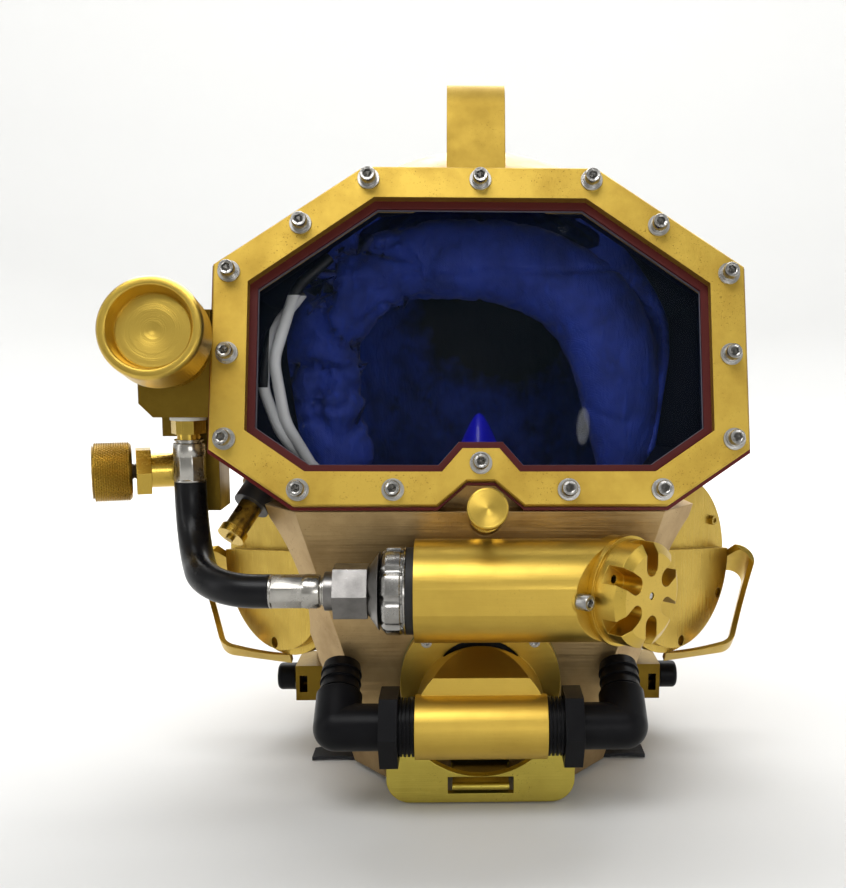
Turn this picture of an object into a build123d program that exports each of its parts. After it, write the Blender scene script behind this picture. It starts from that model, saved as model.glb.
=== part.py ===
from build123d import *
import math
import os

# Surface supplied diving helmet of cast bronze with an octagonal face port. All lengths are millimetres.
# The origin is the centre of the neck opening, on the plane that the helmet stands on.
# The front faces -Y, +Z is up, and +X is the wearer's left.

# Clearances
overrun = 6.0
slip = 0.3
screw_slip = 0.15
press_slip = 0.05

# Shell
neck_radius = 94.0
shell_foot_z = 3.0
crown_base_z = 225.0
crown_radius = 122.0
crown_height = 118.0
shell_wall = 4.5

# Prow, the flat front panel and its side facets
prow_foot_half = 50.0
prow_foot_y = -106.0
prow_top_half = 93.0
prow_top_y = -124.0
prow_top_z = 150.0
bevel_x = 19.0
bevel_y = 24.0
flank_x = -10.0
flank_y = 62.0

# Face port, on a plane that leans back
port_lean = 15.0
port_y = -115.0
port_z = 233.0
frame_half_width = 134.0
frame_top = 92.8
frame_outline_shares = [(0.443, 1.0), (1.0, 0.442), (1.0, -0.569)]
frame_outline_shares += [(0.689, -0.873), (0.160, -0.873), (0.052, -0.740)]
frame_side_band = 17.5
frame_top_band = 16.3
window_half_width = frame_half_width - frame_side_band
window_top = frame_top - frame_top_band
window_outline_shares = [(0.463, 1.0), (1.0, 0.421), (1.0, -0.566)]
window_outline_shares += [(0.744, -0.835), (0.165, -0.837), (0.078, -0.684)]
screw_place_shares = [(0.424, 0.927), (0.677, 0.670), (0.940, 0.400), (0.940, -0.050), (0.942, -0.515)]
screw_place_shares += [(0.670, -0.787), (0.323, -0.787)]
screw_middle_shares = [(0.0, 0.925), (0.0, -0.644)]
frame_thickness = 6.0
frame_edge_chamfer = 0.8
gasket_thickness = 3.0
gasket_lap = 4.0
pane_thickness = 8.0
pane_lap = 4.0
ledge_thickness = 6.5
ledge_lap = 2.0
flange_inset = 1.5
housing_depth = 95.0
housing_back_share = 0.72

# Port screws
screw_radius = 2.4
screw_head_radius = 3.95
screw_head_height = 5.0
screw_socket_flats = 3.9
screw_socket_depth = 2.6
washer_radius = 5.55
washer_thickness = 1.2
lock_washer_radius = 4.2
lock_washer_thickness = 1.8
lock_washer_gap = 1.0
screw_grip = 11.0

# Top handle, a bent strap
top_handle_x = -2.0
top_handle_width = 31.0
top_handle_thickness = 4.0
top_handle_foot_w = -18.0
top_handle_rise = 29.0
top_handle_height = crown_base_z + crown_height + top_handle_rise
top_handle_front_y = -56.0
top_handle_back_y = 4.0
top_handle_rear_y = 34.0
top_handle_bend = 18.0

# Ear cans and covers
ear_inset = 26.0
ear_x = frame_half_width - ear_inset
ear_y = -45.0
ear_z = 106.0
ear_turn = 45.0
ear_can_radius = 50.0
ear_can_length = 60.0
ear_can_wall = 5.0
ear_floor = 8.0
ear_lip = 8.0
ear_cover_radius = 51.0
ear_cover_thickness = 5.0
ear_step_height = 6.0
ear_step_y = 10.0
ear_step_slope = 7.0
ear_step_radius = 47.0
ear_block_width = 22.0
ear_block_bottom = 14.0
ear_block_height = 9.0
ear_gasket_thickness = 1.5
ear_gasket_width = 12.0
ear_pocket_gap = 1.2
ear_screw_count = 6
ear_screw_ring = 43.5
small_screw_radius = 1.6
small_head_radius = 2.8
small_head_height = 2.4
earphone_radius = 30.0
earphone_thickness = 16.0

# Side handles, loops of bent strap on the ear cans
loop_width = 25.0
loop_thickness = 3.0
loop_tilt = 44.0
loop_origin_y = -55.0
loop_origin_z = 58.0
loop_root_in = ear_x
loop_low_reach = 39.0
loop_low_out = ear_x + loop_low_reach
loop_low_rise = 6.0
loop_high_reach = 59.0
loop_high_out = ear_x + loop_high_reach
loop_high_rise = 62.0
loop_top_reach = 16.0
loop_top_in = ear_x + loop_top_reach
loop_bend = 9.0

# Side block on the wearer's right
side_x = -frame_half_width
block_gap = 0.8
block_width = 37.2
block_right_x = side_x - block_gap
block_left_x = block_right_x - block_width
block_front_y = -111.0
block_back_y = -66.0
block_bottom_z = 196.0
block_top_z = 250.0
block_chamfer = 7.0
block_step_y = -90.5
block_step_left_x = block_left_x + overrun
block_step_z = 184.5
block_leg_reach = 13.7
block_leg_gap = 3.0
block_leg_left_x = side_x - block_leg_reach
block_leg_right_x = side_x - block_leg_gap
block_leg_z = 145.2
block_foot_reach = 36.0
block_foot_back_y = -52.0
block_foot_bottom_z = 200.0
block_foot_top_z = 240.0

# Free flow valve, square to the face port
free_flow_reach = 20.8
free_flow_p = side_x - free_flow_reach
free_flow_q = -0.65
bonnet_radius = 19.5
bonnet_front_w = 12.0
bonnet_back_w = -8.0
bonnet_bore = 5.3
free_flow_chamber = 12.0
free_flow_chamber_w = -34.0
free_flow_stem_radius = 5.0
free_flow_stem_back_w = -21.0
free_flow_knob_radius = 25.0
free_flow_knob_back_w = 14.0
free_flow_knob_front_w = 36.0
free_flow_rim = 3.5
free_flow_dish_depth = 8.0
free_flow_hub_radius = 16.0
free_flow_hub_length = 6.0
free_flow_poppet_radius = 11.7
free_flow_poppet_length = 4.0
free_flow_lift = 2.0

# Emergency valve, out to the side of the block leg
emergency_x = block_leg_left_x
emergency_y = -79.3
emergency_z = 166.0
emergency_turn = 17.0
emergency_neck_radius = 9.0
emergency_neck_length = 27.0
emergency_hex_flats = 23.2
emergency_hex_length = 7.5
emergency_knob_radius = 15.0
emergency_knob_gap = 2.0
emergency_knob_length = 20.0
emergency_stem_radius = 4.0
emergency_chamber = 5.5
emergency_chamber_depth = 8.0
emergency_seat_depth = 3.0
emergency_poppet_radius = 4.8
emergency_poppet_length = 2.0
emergency_lift = 1.0

# Umbilical inlet with its check valve, at the back of the block
inlet_reach = 20.0
inlet_x = side_x - inlet_reach
inlet_z = 222.0
inlet_radius = 11.0
inlet_length = 46.0
inlet_hex_flats = 25.0
inlet_hex_length = 12.0
inlet_bore = 6.5
inlet_seat_radius = 4.0
inlet_seat_length = 14.0
check_poppet_radius = 6.0
check_poppet_length = 5.0

# Supply hose and its fittings
fitting_reach = 16.0
fitting_x = side_x - fitting_reach
fitting_y = -100.0
hose_washer_radius = 9.2
hose_washer_thickness = 2.0
fitting_hex_flats = 15.5
fitting_hex_length = 7.0
fitting_neck_radius = 6.0
fitting_neck_length = 3.0
ferrule_radius = 8.3
hose_radius = 8.2
hose_bore = 4.8
hose_top_z = 162.0
hose_low_z = 128.0
hose_turn_share = 0.395
hose_top_bend = 38.0
hose_turn_bend_share = 1.168

# Regulator, a cylinder across the panel with a mitred end
reg_y = -150.0
reg_z = 115.6
reg_radius = 25.0
reg_left_x = -32.0
reg_mitre_x = 68.0
reg_mitre_turn = 45.0
reg_bore = 18.0
reg_end_wall = 5.0
reg_flat_depth = 0.8
reg_flange_thickness = 8.0
reg_flange_reach = 36.0
reg_flange_half_height = 26.0
reg_lobe_radius = 8.0
reg_chamber = 21.0
reg_chamber_depth = 6.0
reg_boss_radius = 13.5
reg_tail_radius = 10.0
reg_tail_bore = 6.5
reg_tail_length = 24.0
reg_nut_flats = 28.0
reg_nut_length = 6.0
barrel_radius = 7.0
barrel_bore = 4.2
barrel_end_x = 30.0
fork_arm = 2.5
fork_inside = 4.5
fork_end_share = 1.5
cover_radius = 25.5
cover_rim_radius = 27.0
cover_rim_thickness = 3.0
cover_length = 18.0
cover_face_radius = 20.7
cover_chamfer_length = 3.0
cover_cavity_depth = 5.0
cover_slot_count = 6
cover_slot_width = 9.0
cover_slot_inner = 14.0
cover_slot_floor = 7.0
cover_port_radius = 2.1
cover_port_ring = 18.0
cover_screw_reach = 31.5
cover_screw_radius = 2.0
cover_screw_head_radius = 3.9
cover_screw_head_height = 6.0
pin_radius = 1.5
pin_flange_radius = 4.0
pin_flange_thickness = 1.2
pin_recess = 0.5
diaphragm_radius = 20.4
diaphragm_thickness = 1.0
lever_pivot_x = 40.0
lever_pivot_drop = 6.0
lever_tip_x = 65.0
lever_thickness = 2.5
lever_width = 7.0
lever_pin_radius = 1.5
demand_poppet_radius = 3.5
demand_poppet_back_x = -20.0
demand_tip_radius = 1.5
demand_tip_length = 3.0

# Coupling wheel and swivel at the left end of the regulator
seal_ring_radius = 21.0
seal_ring_bore = 8.0
seal_ring_thickness = 3.8
wheel_radius = 21.3
wheel_back_x = -36.1
wheel_front_x = -48.7
wheel_bore = 10.2
wheel_lobes = 9
wheel_groove_radius = 3.2
wheel_groove_offset_share = 1.06
sleeve_radius = 9.9
swivel_cone_x = -54.4
swivel_cone_radius = 11.5
swivel_cone_big_radius = 19.0
swivel_hex_x = -70.8
swivel_hex_flats = 24.2
swivel_collar_x = -75.2
swivel_collar_radius = 9.4
lower_ferrule_x = -101.9

# Nose block, square to the face port, in the notch of the frame
nose_p = 2.5
nose_q = -86.0
nose_shaft_radius = 3.2
nose_knob_radius = 9.7
nose_knob_front_w = 39.0
nose_knob_length = 9.0
nose_knob_bore_depth = 6.0
nose_shaft_back_w = -70.0
gland_radius = 8.0
gland_front_w = -2.0
gland_back_w = -36.0
gland_bore = 5.4
packing_length = 12.0
pad_length = 22.0
pad_thickness = 7.0
pad_height = 8.0

# Oral nasal mask with its front on the regulator tail
mask_front_y = -101.0
mask_front_radius = 17.0
mask_rim_y = -46.0
mask_rim_radius = 42.0
mask_wall = 2.5
mask_z = 116.0
microphone_radius = 7.0
microphone_length = 6.0
microphone_x = 0.0
microphone_z = 99.0
microphone_y = -78.0

# Exhaust on the panel
exhaust_z = 60.0
exhaust_flange_radius = 41.4
exhaust_flange_thickness = 6.0
exhaust_gasket_thickness = 1.5
exhaust_port = 20.0
exhaust_inner_port = 12.0
exhaust_half_width = 32.3
exhaust_pipe_z = 46.8
exhaust_pipe_y = -149.0
exhaust_pipe_radius = 15.8
exhaust_bore = 10.5
exhaust_saddle_radius = 33.0
exhaust_saddle_z = 48.0
exhaust_apex_y = -126.0
exhaust_crease_y = -148.0
exhaust_crease_z = 71.0
exhaust_hollow_z = 60.0
exhaust_screw_ring = 36.5
exhaust_screw_angles = [41.0, 139.0, 195.0, 345.0]
exhaust_valve_radius = 23.0
exhaust_valve_thickness = 1.5
exhaust_cavity_radius = 25.0
exhaust_cavity_depth = 9.0

# Elbows at both ends of the exhaust
thread_radius = 14.4
thread_root_radius = 13.2
thread_pitch = 2.0
thread_count = 4
elbow_nut_start = 40.4
elbow_nut_end = 49.5
elbow_nut_flats = 35.0
elbow_thread_in = 20.0
elbow_radius = 11.5
elbow_bore = 8.0
elbow_corner_x = 71.0
leg_rise = 22.0
leg_run = 29.0
leg_radius = 10.4
leg_bore = 7.5
barb_count = 3
barb_pitch = 5.5
barb_height = 1.0

# Chin plate and neck ring
chin_front_y = -134.0
chin_thickness = 4.0
chin_half_width = 48.0
chin_top_z = 27.0
chin_bottom_z = 1.0
chin_corner_radius = 12.0
chin_slot_half_width = 16.8
chin_slot_bottom_z = 5.7
chin_slot_top_z = 14.5
chin_cheek_in = 38.0
chin_cheek_thickness = 6.0
chin_cheek_bottom_z = 10.0
chin_cheek_top_z = 22.0
chin_scallop_gap = 1.0
ring_outer_gap = 1.2
ring_bore = 76.0
ring_height = 8.0
ring_front_gap = 3.0
tongue_half_width = 14.5
tongue_thickness = 2.5
tongue_tip_y = -136.0
tongue_tip_radius = 2.0
tongue_z = 10.1
dam_foot_radius = 80.0
dam_neck_radius = 52.0
dam_neck_z = 42.0
dam_thickness = 2.0

# Latch brackets and pull pins at both sides
latch_y = -20.0
latch_z = 32.0
bracket_out_x = 108.0
bracket_in_x = 85.0
bracket_front_y = -36.0
bracket_back_y = -5.0
bracket_bottom_z = 22.0
bracket_top_z = 43.0
bracket_window_width = 9.0
bracket_window_height = 10.0
latch_pin_radius = 3.9
latch_pin_gap = 0.1
latch_pin_in_x = 99.0
latch_knob_radius = 8.0
latch_knob_in_x = 110.0
latch_knob_out_x = 120.5

# Comms terminal at the wearer's right
comms_in = 13.1
comms_x = side_x + comms_in
comms_y = -80.0
comms_z = 149.0
comms_axis = (-0.42, -0.586, -0.693)
comms_boss_radius = 11.5
comms_boss_back = -48.0
comms_boss_front = -7.0
comms_collar_radius = 10.0
comms_collar_front = 4.0
comms_post_radius = 6.2
comms_post_front = 20.0
comms_cross_radius = 2.2
comms_cross_at = 11.0
comms_nut_radius = 7.6
comms_nut_back = 20.5
comms_nut_front = 25.0
comms_stud_radius = 2.2
comms_stud_front = 27.0
wire_radius = 3.0
wire_routes = [
    [(54, -68, 278), (37, -77, 262), (26, -86, 224), (32, -91, 192), (44, -84, 169)],
    [(38, -63, 259), (23, -77, 238), (20, -87, 210), (30, -90, 184), (46, -76, 165)],
]
wire_bend = 26

# Head liner, strap ends
liner_gap = 0.1
liner_thickness = 14.0
liner_front_in = 20.0
liner_front_y = port_y + housing_depth - liner_front_in
hood_roll_lead = 2.0
hood_roll_y = liner_front_y - hood_roll_lead
hood_roll_half = 90.0
hood_roll_top_z = 278.0
hood_roll_foot_z = 170.0
hood_roll_radius = 15.0
hood_roll_bend = 62.0
liner_bottom_z = 96.0
liner_top_z = 336.0
liner_can_gap = 3.0
strap_out_x = 94.0
strap_in_x = 64.0
strap_front_y = -75.0
strap_back_y = -60.0
strap_thickness = 6.0

# Derived places
hose_turn_x = fitting_x + (lower_ferrule_x - fitting_x) * hose_turn_share
hose_turn_bend = (lower_ferrule_x - hose_turn_x) * hose_turn_bend_share
panel_lean = math.degrees(math.atan2(prow_foot_y - prow_top_y, prow_top_z - shell_foot_z))
gasket_w = -frame_thickness
pane_w = gasket_w - gasket_thickness
ledge_w = pane_w - pane_thickness
housing_w = ledge_w - ledge_thickness
screw_head_w = washer_thickness + lock_washer_thickness
face = Plane(
    origin=(0, port_y, port_z),
    x_dir=(1, 0, 0),
    z_dir=(0, -math.cos(math.radians(port_lean)), math.sin(math.radians(port_lean))),
)


def panel_y(z):
    """Where the outside of the front panel lies at a height."""
    return prow_foot_y + (prow_top_y - prow_foot_y) * (z - shell_foot_z) / (prow_top_z - shell_foot_z)


def panel_plane(z):
    """A plane on the front panel at a height, facing out."""
    lean = math.radians(panel_lean)
    return Plane(origin=(0, panel_y(z), z), x_dir=(1, 0, 0), z_dir=(0, -math.cos(lean), -math.sin(lean)))


def axis_plane(origin, direction):
    """A plane square to a direction, its local Y as near upright as can be."""
    x, y, z = direction
    side = (-y, x, 0) if abs(x) + abs(y) > 0 else (1, 0, 0)
    return Plane(origin=origin, x_dir=side, z_dir=direction)


def rod(plane, radius, start, end):
    """A cylinder on a plane's axis between two places along it."""
    return plane * Pos(0, 0, (start + end) / 2) * Cylinder(radius, abs(end - start))


def tube(plane, radius, bore, start, end):
    """A cylinder with a bore right through."""
    low = min(start, end)
    high = max(start, end)
    return rod(plane, radius, low, high) - rod(plane, bore, low - overrun, high + overrun)


def cone(plane, start_radius, end_radius, start, end):
    """A cone on a plane's axis, with start below end."""
    return plane * Pos(0, 0, (start + end) / 2) * Cone(start_radius, end_radius, end - start)


def hexagon(plane, flats, start, end):
    """A six sided bar on a plane's axis, given across its flats."""
    outline = RegularPolygon(flats / 2, 6, major_radius=False)
    return plane * Pos(0, 0, min(start, end)) * extrude(outline, abs(end - start))


def block(x0, x1, y0, y1, z0, z1):
    """A box between two corners."""
    centre = Pos((x0 + x1) / 2, (y0 + y1) / 2, (z0 + z1) / 2)
    return centre * Box(abs(x1 - x0), abs(y1 - y0), abs(z1 - z0))


def group(shapes):
    """Several separate solids in one node."""
    return Compound(children=[solid for shape in shapes for solid in shape.solids()])


def mirrored(shape):
    """The same shape at the other side."""
    return mirror(shape, about=Plane.YZ)


def plate(outline, plane, start, end):
    """An outline on a plane, drawn out between two places along its axis."""
    return plane * Pos(0, 0, min(start, end)) * extrude(outline, abs(end - start))


def run(points, bends):
    """A route of straight runs with tangent arcs, one bend radius for each corner."""
    return FilletPolyline(*points, radius=bends)


def pipe(path, radius):
    """A round bar along a route."""
    start = Plane(origin=path @ 0, z_dir=path % 0)
    return sweep(start * Circle(radius), path=path)


def strap(path, side, width, thickness):
    """A flat strap along a flat route, its width across the route."""
    start = Plane(origin=path @ 0, x_dir=side, z_dir=path % 0)
    return sweep(start * Rectangle(width, thickness), path=path)


def grown(points, amount):
    """The corners of a closed outline, run clockwise, with its sides moved out."""
    corners = []
    for k, point in enumerate(points):
        here = Vector(*point)
        before = (here - Vector(*points[k - 1])).normalized()
        after = (Vector(*points[(k + 1) % len(points)]) - here).normalized()
        out_before = Vector(-before.Y, before.X)
        out_after = Vector(-after.Y, after.X)
        step = (out_before + out_after) * (amount / (1 + out_before.dot(out_after)))
        corners.append((here.X + step.X, here.Y + step.Y))
    return corners


def outline(shares, half_width, top, grow=0):
    """The octagon with a notch at its foot, from shares of its half width and top, grown all round."""
    right = [(x * half_width, y * top) for x, y in shares]
    left = [(-x, y) for x, y in reversed(right)]
    return make_face(Polyline(*grown(right + left, grow), close=True))


def frame_outline(grow=0):
    return outline(frame_outline_shares, frame_half_width, frame_top, grow)


def window_outline(grow=0):
    return outline(window_outline_shares, window_half_width, window_top, grow)


def screw_places():
    """The sixteen port screws on the face plane."""
    side = [(x * frame_half_width, y * frame_top) for x, y in screw_place_shares]
    middle = [(x * frame_half_width, y * frame_top) for x, y in screw_middle_shares]
    return side + [(-x, y) for x, y in side] + middle


def bowl(inset=0):
    """The round shell, from the neck up over the crown, drawn in all round by an inset."""
    foot_z = shell_foot_z - (overrun if inset else 0)
    neck = neck_radius - inset
    crown = crown_radius - inset
    height = crown_height - inset
    foot = Line((0, foot_z), (neck, foot_z))
    wall = Line((neck, foot_z), (crown, crown_base_z))
    top = crown_base_z + height
    ball = (crown ** 2 + height ** 2) / (2 * height)
    slant = ball * math.sqrt(0.5)
    arc = ThreePointArc((crown, crown_base_z), (slant, top - ball + slant), (0, top))
    axis = Line((0, top), (0, foot_z))
    profile = Plane.XZ * make_face([foot, wall, arc, axis])
    return revolve(profile, axis=Axis.Z)


def prow_level(half, y, z, inset):
    """The prow's plan at a height: the panel, a bevel and a flank at each side."""
    points = [(half - inset / 2, y + inset), (half + bevel_x - inset, y + bevel_y + inset / 2)]
    points += [(half + bevel_x + flank_x - inset, y + bevel_y + flank_y)]
    level = points + [(-x, y) for x, y in reversed(points)]
    return Pos(0, 0, z) * make_face(Polyline(*level, close=True))


def prow(inset=0):
    """The prow from the foot of the shell up to the face port."""
    rise = (prow_top_z - shell_foot_z)
    drop = overrun if inset else 0
    low_half = prow_foot_half - (prow_top_half - prow_foot_half) * drop / rise
    low_y = panel_y(shell_foot_z - drop)
    high_z = prow_top_z - inset
    high_half = prow_top_half - (prow_top_half - prow_foot_half) * inset / rise
    foot = prow_level(low_half, low_y, shell_foot_z - drop, inset)
    top = prow_level(high_half, panel_y(high_z), high_z, inset)
    return loft([foot, top], ruled=True)


def housing(start_w, inset=0):
    """The port housing, tapering back into the crown."""
    front = face * Pos(0, 0, start_w) * frame_outline(-flange_inset - inset)
    back_outline = scale(frame_outline(-flange_inset - inset), by=housing_back_share)
    back = face * Pos(0, 0, -housing_depth) * back_outline
    return loft([back, front], ruled=True)


def ear_plane(side):
    """The face of an ear can, turned out and forward."""
    turn = math.radians(ear_turn)
    return axis_plane((side * ear_x, ear_y, ear_z), (side * math.sin(turn), -math.cos(turn), 0))


def comms_plane():
    return axis_plane((comms_x, comms_y, comms_z), comms_axis)


def shell_body():
    """The outside of the shell as one solid, with the ear cans and the comms boss."""
    body = bowl() + prow()
    body += plate(frame_outline(-flange_inset), face, pane_w, housing_w) + housing(housing_w)
    front = plate(Rectangle(frame_half_width * 3, frame_top * 4), face, pane_w, frame_half_width)
    wide = crown_radius * 2
    keep_low = block(-wide, wide, -wide, 0, -overrun, prow_top_z - overrun)
    body -= front - keep_low
    for side in (-1, 1):
        plane = ear_plane(side)
        body -= rod(plane, ear_cover_radius + ear_pocket_gap, 0, ear_can_length)
        body += rod(plane, ear_can_radius, -ear_can_length, 0)
    return body + rod(comms_plane(), comms_boss_radius, comms_boss_back, comms_boss_front)


def shell_hollow():
    """The room inside the shell."""
    room = bowl(shell_wall) + prow(shell_wall) + housing(housing_w, shell_wall)
    for side in (-1, 1):
        plane = ear_plane(side)
        room -= rod(plane, ear_can_radius, -ear_floor - ear_lip, ear_can_length)
        room += rod(plane, ear_can_radius - ear_can_wall, -ear_can_length, -ear_floor)
    return room


def nose_axis():
    return face * Pos(nose_p, nose_q, 0)


def regulator_mount():
    """The regulator's boss axis, square to the panel."""
    return panel_plane(reg_z)


def exhaust_mount():
    return panel_plane(exhaust_z)


def helmet_shell(solid):
    shell = solid - shell_hollow()
    shell -= plate(window_outline(-ledge_lap), face, overrun, housing_w - overrun)
    shell -= plate(window_outline(pane_lap + slip), face, overrun, ledge_w - screw_slip)
    for x, y in screw_places():
        shell -= rod(face * Pos(x, y, 0), screw_radius + screw_slip, overrun, pane_w - screw_grip - slip)
    shell -= rod(nose_axis(), gland_radius + screw_slip, overrun, gland_back_w - overrun)
    shell -= rod(regulator_mount(), reg_tail_radius + screw_slip, -reg_tail_length, overrun)
    shell -= rod(exhaust_mount(), exhaust_port, -reg_tail_length, overrun)
    slot_half = tongue_half_width + slip * 4
    slot_back_y = prow_foot_y + overrun * 2
    shell -= block(-slot_half, slot_half, prow_foot_y - overrun, slot_back_y, 0, chin_slot_top_z)
    for side in (-1, 1):
        for k in range(ear_screw_count):
            spoke = ear_plane(side) * Rot(0, 0, 360 / ear_screw_count * (k + 0.5))
            plane = spoke * Pos(ear_screw_ring, 0, 0)
            shell -= rod(plane, small_screw_radius + screw_slip, -ear_floor / 2 - slip, overrun)
    return shell


def face_frame():
    frame = plate(frame_outline(), face, 0, gasket_w)
    frame = chamfer(frame.faces().sort_by(Axis(face.origin, face.z_dir))[-1].edges(), frame_edge_chamfer)
    frame -= plate(window_outline(), face, overrun, gasket_w - overrun)
    for x, y in screw_places():
        frame -= rod(face * Pos(x, y, 0), screw_radius + screw_slip, overrun, gasket_w - overrun)
    return frame


def port_gasket():
    gasket = plate(frame_outline(slip), face, gasket_w, pane_w)
    gasket -= plate(window_outline(-gasket_lap), face, 0, pane_w - overrun)
    for x, y in screw_places():
        gasket -= rod(face * Pos(x, y, 0), screw_radius + screw_slip, 0, pane_w - overrun)
    return gasket


def face_port():
    return plate(window_outline(pane_lap), face, pane_w, ledge_w)


def socket_screw(plane, radius, head_radius, head_height, flats, depth, grip):
    """A socket head cap screw whose head sits on a plane."""
    screw = rod(plane, radius, -grip, 0) + rod(plane, head_radius, 0, head_height)
    return screw - hexagon(plane, flats, head_height - depth, head_height + overrun)


def port_screws():
    shank = screw_head_w + frame_thickness + gasket_thickness + screw_grip
    screws = []
    for x, y in screw_places():
        seat = face * Pos(x, y, screw_head_w)
        head = (screw_head_radius, screw_head_height, screw_socket_flats, screw_socket_depth)
        screws.append(socket_screw(seat, screw_radius, *head, shank))
    return group(screws)


def port_washers():
    rings = []
    for x, y in screw_places():
        seat = face * Pos(x, y, 0)
        rings.append(tube(seat, washer_radius, screw_radius + screw_slip, 0, washer_thickness))
        lock = tube(seat, lock_washer_radius, screw_radius + screw_slip, washer_thickness, screw_head_w)
        gap = Pos(0, lock_washer_radius, 0) * Box(lock_washer_gap, lock_washer_radius * 2, overrun * 4)
        rings.append(lock - seat * gap)
    return group(rings)


def top_handle(solid):
    foot = face.from_local_coords((0, frame_top, top_handle_foot_w))
    root_z = crown_base_z + crown_height - overrun
    points = [
        (top_handle_x, foot.Y - overrun / 2, foot.Z - overrun * 2),
        (top_handle_x, top_handle_front_y, top_handle_height - top_handle_thickness / 2),
        (top_handle_x, top_handle_back_y, top_handle_height - top_handle_thickness / 2),
        (top_handle_x, top_handle_rear_y, root_z - overrun),
    ]
    path = FilletPolyline(*points, radius=top_handle_bend)
    return strap(path, (1, 0, 0), top_handle_width, top_handle_thickness) - solid


def ear_cover(side):
    plane = ear_plane(side)
    start = ear_gasket_thickness
    top = start + ear_cover_thickness
    cover = rod(plane, ear_cover_radius, start, top)
    step = rod(plane, ear_step_radius, top, top + ear_step_height)
    wide = ear_cover_radius * 2
    above = Pos(0, ear_step_y + ear_cover_radius, 0) * Box(wide * 2, wide, ear_can_length)
    step -= plane * Rot(0, 0, -side * ear_step_slope) * above
    low_x = side * -ear_cover_radius
    high_x = side * (ear_block_width - ear_cover_radius)
    raised = block(low_x, high_x, ear_block_bottom, ear_cover_radius, start, top + ear_block_height)
    cover += step + (plane * raised & rod(plane, ear_cover_radius, start, ear_can_length))
    for k in range(ear_screw_count):
        place = plane * Rot(0, 0, 360 / ear_screw_count * (k + 0.5)) * Pos(ear_screw_ring, 0, 0)
        cover -= rod(place, small_screw_radius + screw_slip, 0, ear_can_length)
        cover -= rod(place, small_head_radius + slip, top, ear_can_length)
    return cover


def ear_covers():
    return group([ear_cover(-1), ear_cover(1)])


def ear_gaskets():
    rings = []
    for side in (-1, 1):
        bore = ear_cover_radius - ear_gasket_width
        ring = tube(ear_plane(side), ear_cover_radius, bore, 0, ear_gasket_thickness)
        for k in range(ear_screw_count):
            spoke = ear_plane(side) * Rot(0, 0, 360 / ear_screw_count * (k + 0.5))
            place = spoke * Pos(ear_screw_ring, 0, 0)
            ring -= rod(place, small_screw_radius + screw_slip, -overrun, overrun)
        rings.append(ring)
    return group(rings)


def ear_cover_screws():
    screws = []
    top = ear_gasket_thickness + ear_cover_thickness
    for side in (-1, 1):
        for k in range(ear_screw_count):
            spoke = ear_plane(side) * Rot(0, 0, 360 / ear_screw_count * (k + 0.5))
            place = spoke * Pos(ear_screw_ring, 0, top)
            head = (small_head_radius, small_head_height, small_head_radius, small_head_height / 2)
            screws.append(socket_screw(place, small_screw_radius, *head, top + ear_floor / 2))
    return group(screws)


def earphones_and_microphone():
    pieces = []
    for side in (-1, 1):
        pieces.append(rod(ear_plane(side), earphone_radius, -ear_floor - earphone_thickness, -ear_floor))
    mic = axis_plane((microphone_x, microphone_y, microphone_z), (0, 1, 0))
    pieces.append(rod(mic, microphone_radius, 0, microphone_length))
    return group(pieces)


def side_handles():
    """Two loops of strap from the rims of the ear cans, leaning back."""
    tilt = math.radians(loop_tilt)
    across = (0, math.sin(tilt), math.cos(tilt))
    origin = Vector(0, loop_origin_y, loop_origin_z)
    places = [(loop_root_in, 0), (loop_low_out, loop_low_rise)]
    places += [(loop_high_out, loop_high_rise), (loop_top_in, loop_high_rise)]
    points = [origin + Vector(x, 0, 0) + Vector(*across) * rise for x, rise in places]
    path = FilletPolyline(*points, radius=loop_bend)
    side = (0, -math.cos(tilt), math.sin(tilt))
    loop = strap(path, side, loop_width, loop_thickness)
    loop -= rod(ear_plane(1), ear_cover_radius + slip / 2, -ear_can_length, ear_can_length)
    return group([loop, mirrored(loop)])


def free_flow_axis():
    return face * Pos(free_flow_p, free_flow_q, 0)


def emergency_axis():
    turn = math.radians(emergency_turn)
    return axis_plane((emergency_x, emergency_y, emergency_z), (-math.cos(turn), -math.sin(turn), 0))


def inlet_axis():
    return axis_plane((inlet_x, block_back_y, inlet_z), (0, 1, 0))


def fitting_axis():
    return axis_plane((fitting_x, fitting_y, block_bottom_z), (0, 0, 1))


def side_block_body():
    body = block(block_left_x, block_right_x, block_front_y, block_back_y, block_bottom_z, block_top_z)
    body = chamfer(body.edges().filter_by(Axis.Y).group_by(Axis.X)[0], block_chamfer)
    body += block(block_step_left_x, block_right_x, block_step_y, block_back_y, block_step_z, block_bottom_z)
    leg_top = block_bottom_z
    body += block(block_leg_left_x, block_leg_right_x, block_step_y, block_back_y, block_leg_z, leg_top)
    foot_in = block_right_x + block_foot_reach
    root_x = block_right_x - overrun / 2
    heights = (block_foot_bottom_z, block_foot_top_z)
    foot = block(block_right_x, foot_in, block_foot_back_y, block_back_y - overrun * 2, *heights)
    root = block(root_x, block_right_x, block_foot_back_y, block_back_y, *heights)
    return body + foot + root


def side_block(solid):
    body = side_block_body() - solid
    body -= rod(free_flow_axis(), free_flow_chamber, free_flow_chamber_w, overrun)
    body -= rod(emergency_axis(), emergency_chamber, -emergency_chamber_depth, overrun)
    body -= rod(inlet_axis(), inlet_bore, -overrun * 2, overrun)
    body -= rod(fitting_axis(), hose_bore, -overrun, overrun * 2)
    return body


def free_flow_bonnet():
    bonnet = rod(free_flow_axis(), bonnet_radius, bonnet_back_w, bonnet_front_w) - side_block_body()
    bonnet += rod(free_flow_axis(), free_flow_chamber - screw_slip, free_flow_stem_back_w, bonnet_front_w)
    return bonnet - rod(free_flow_axis(), bonnet_bore, -housing_depth, housing_depth)


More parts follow.
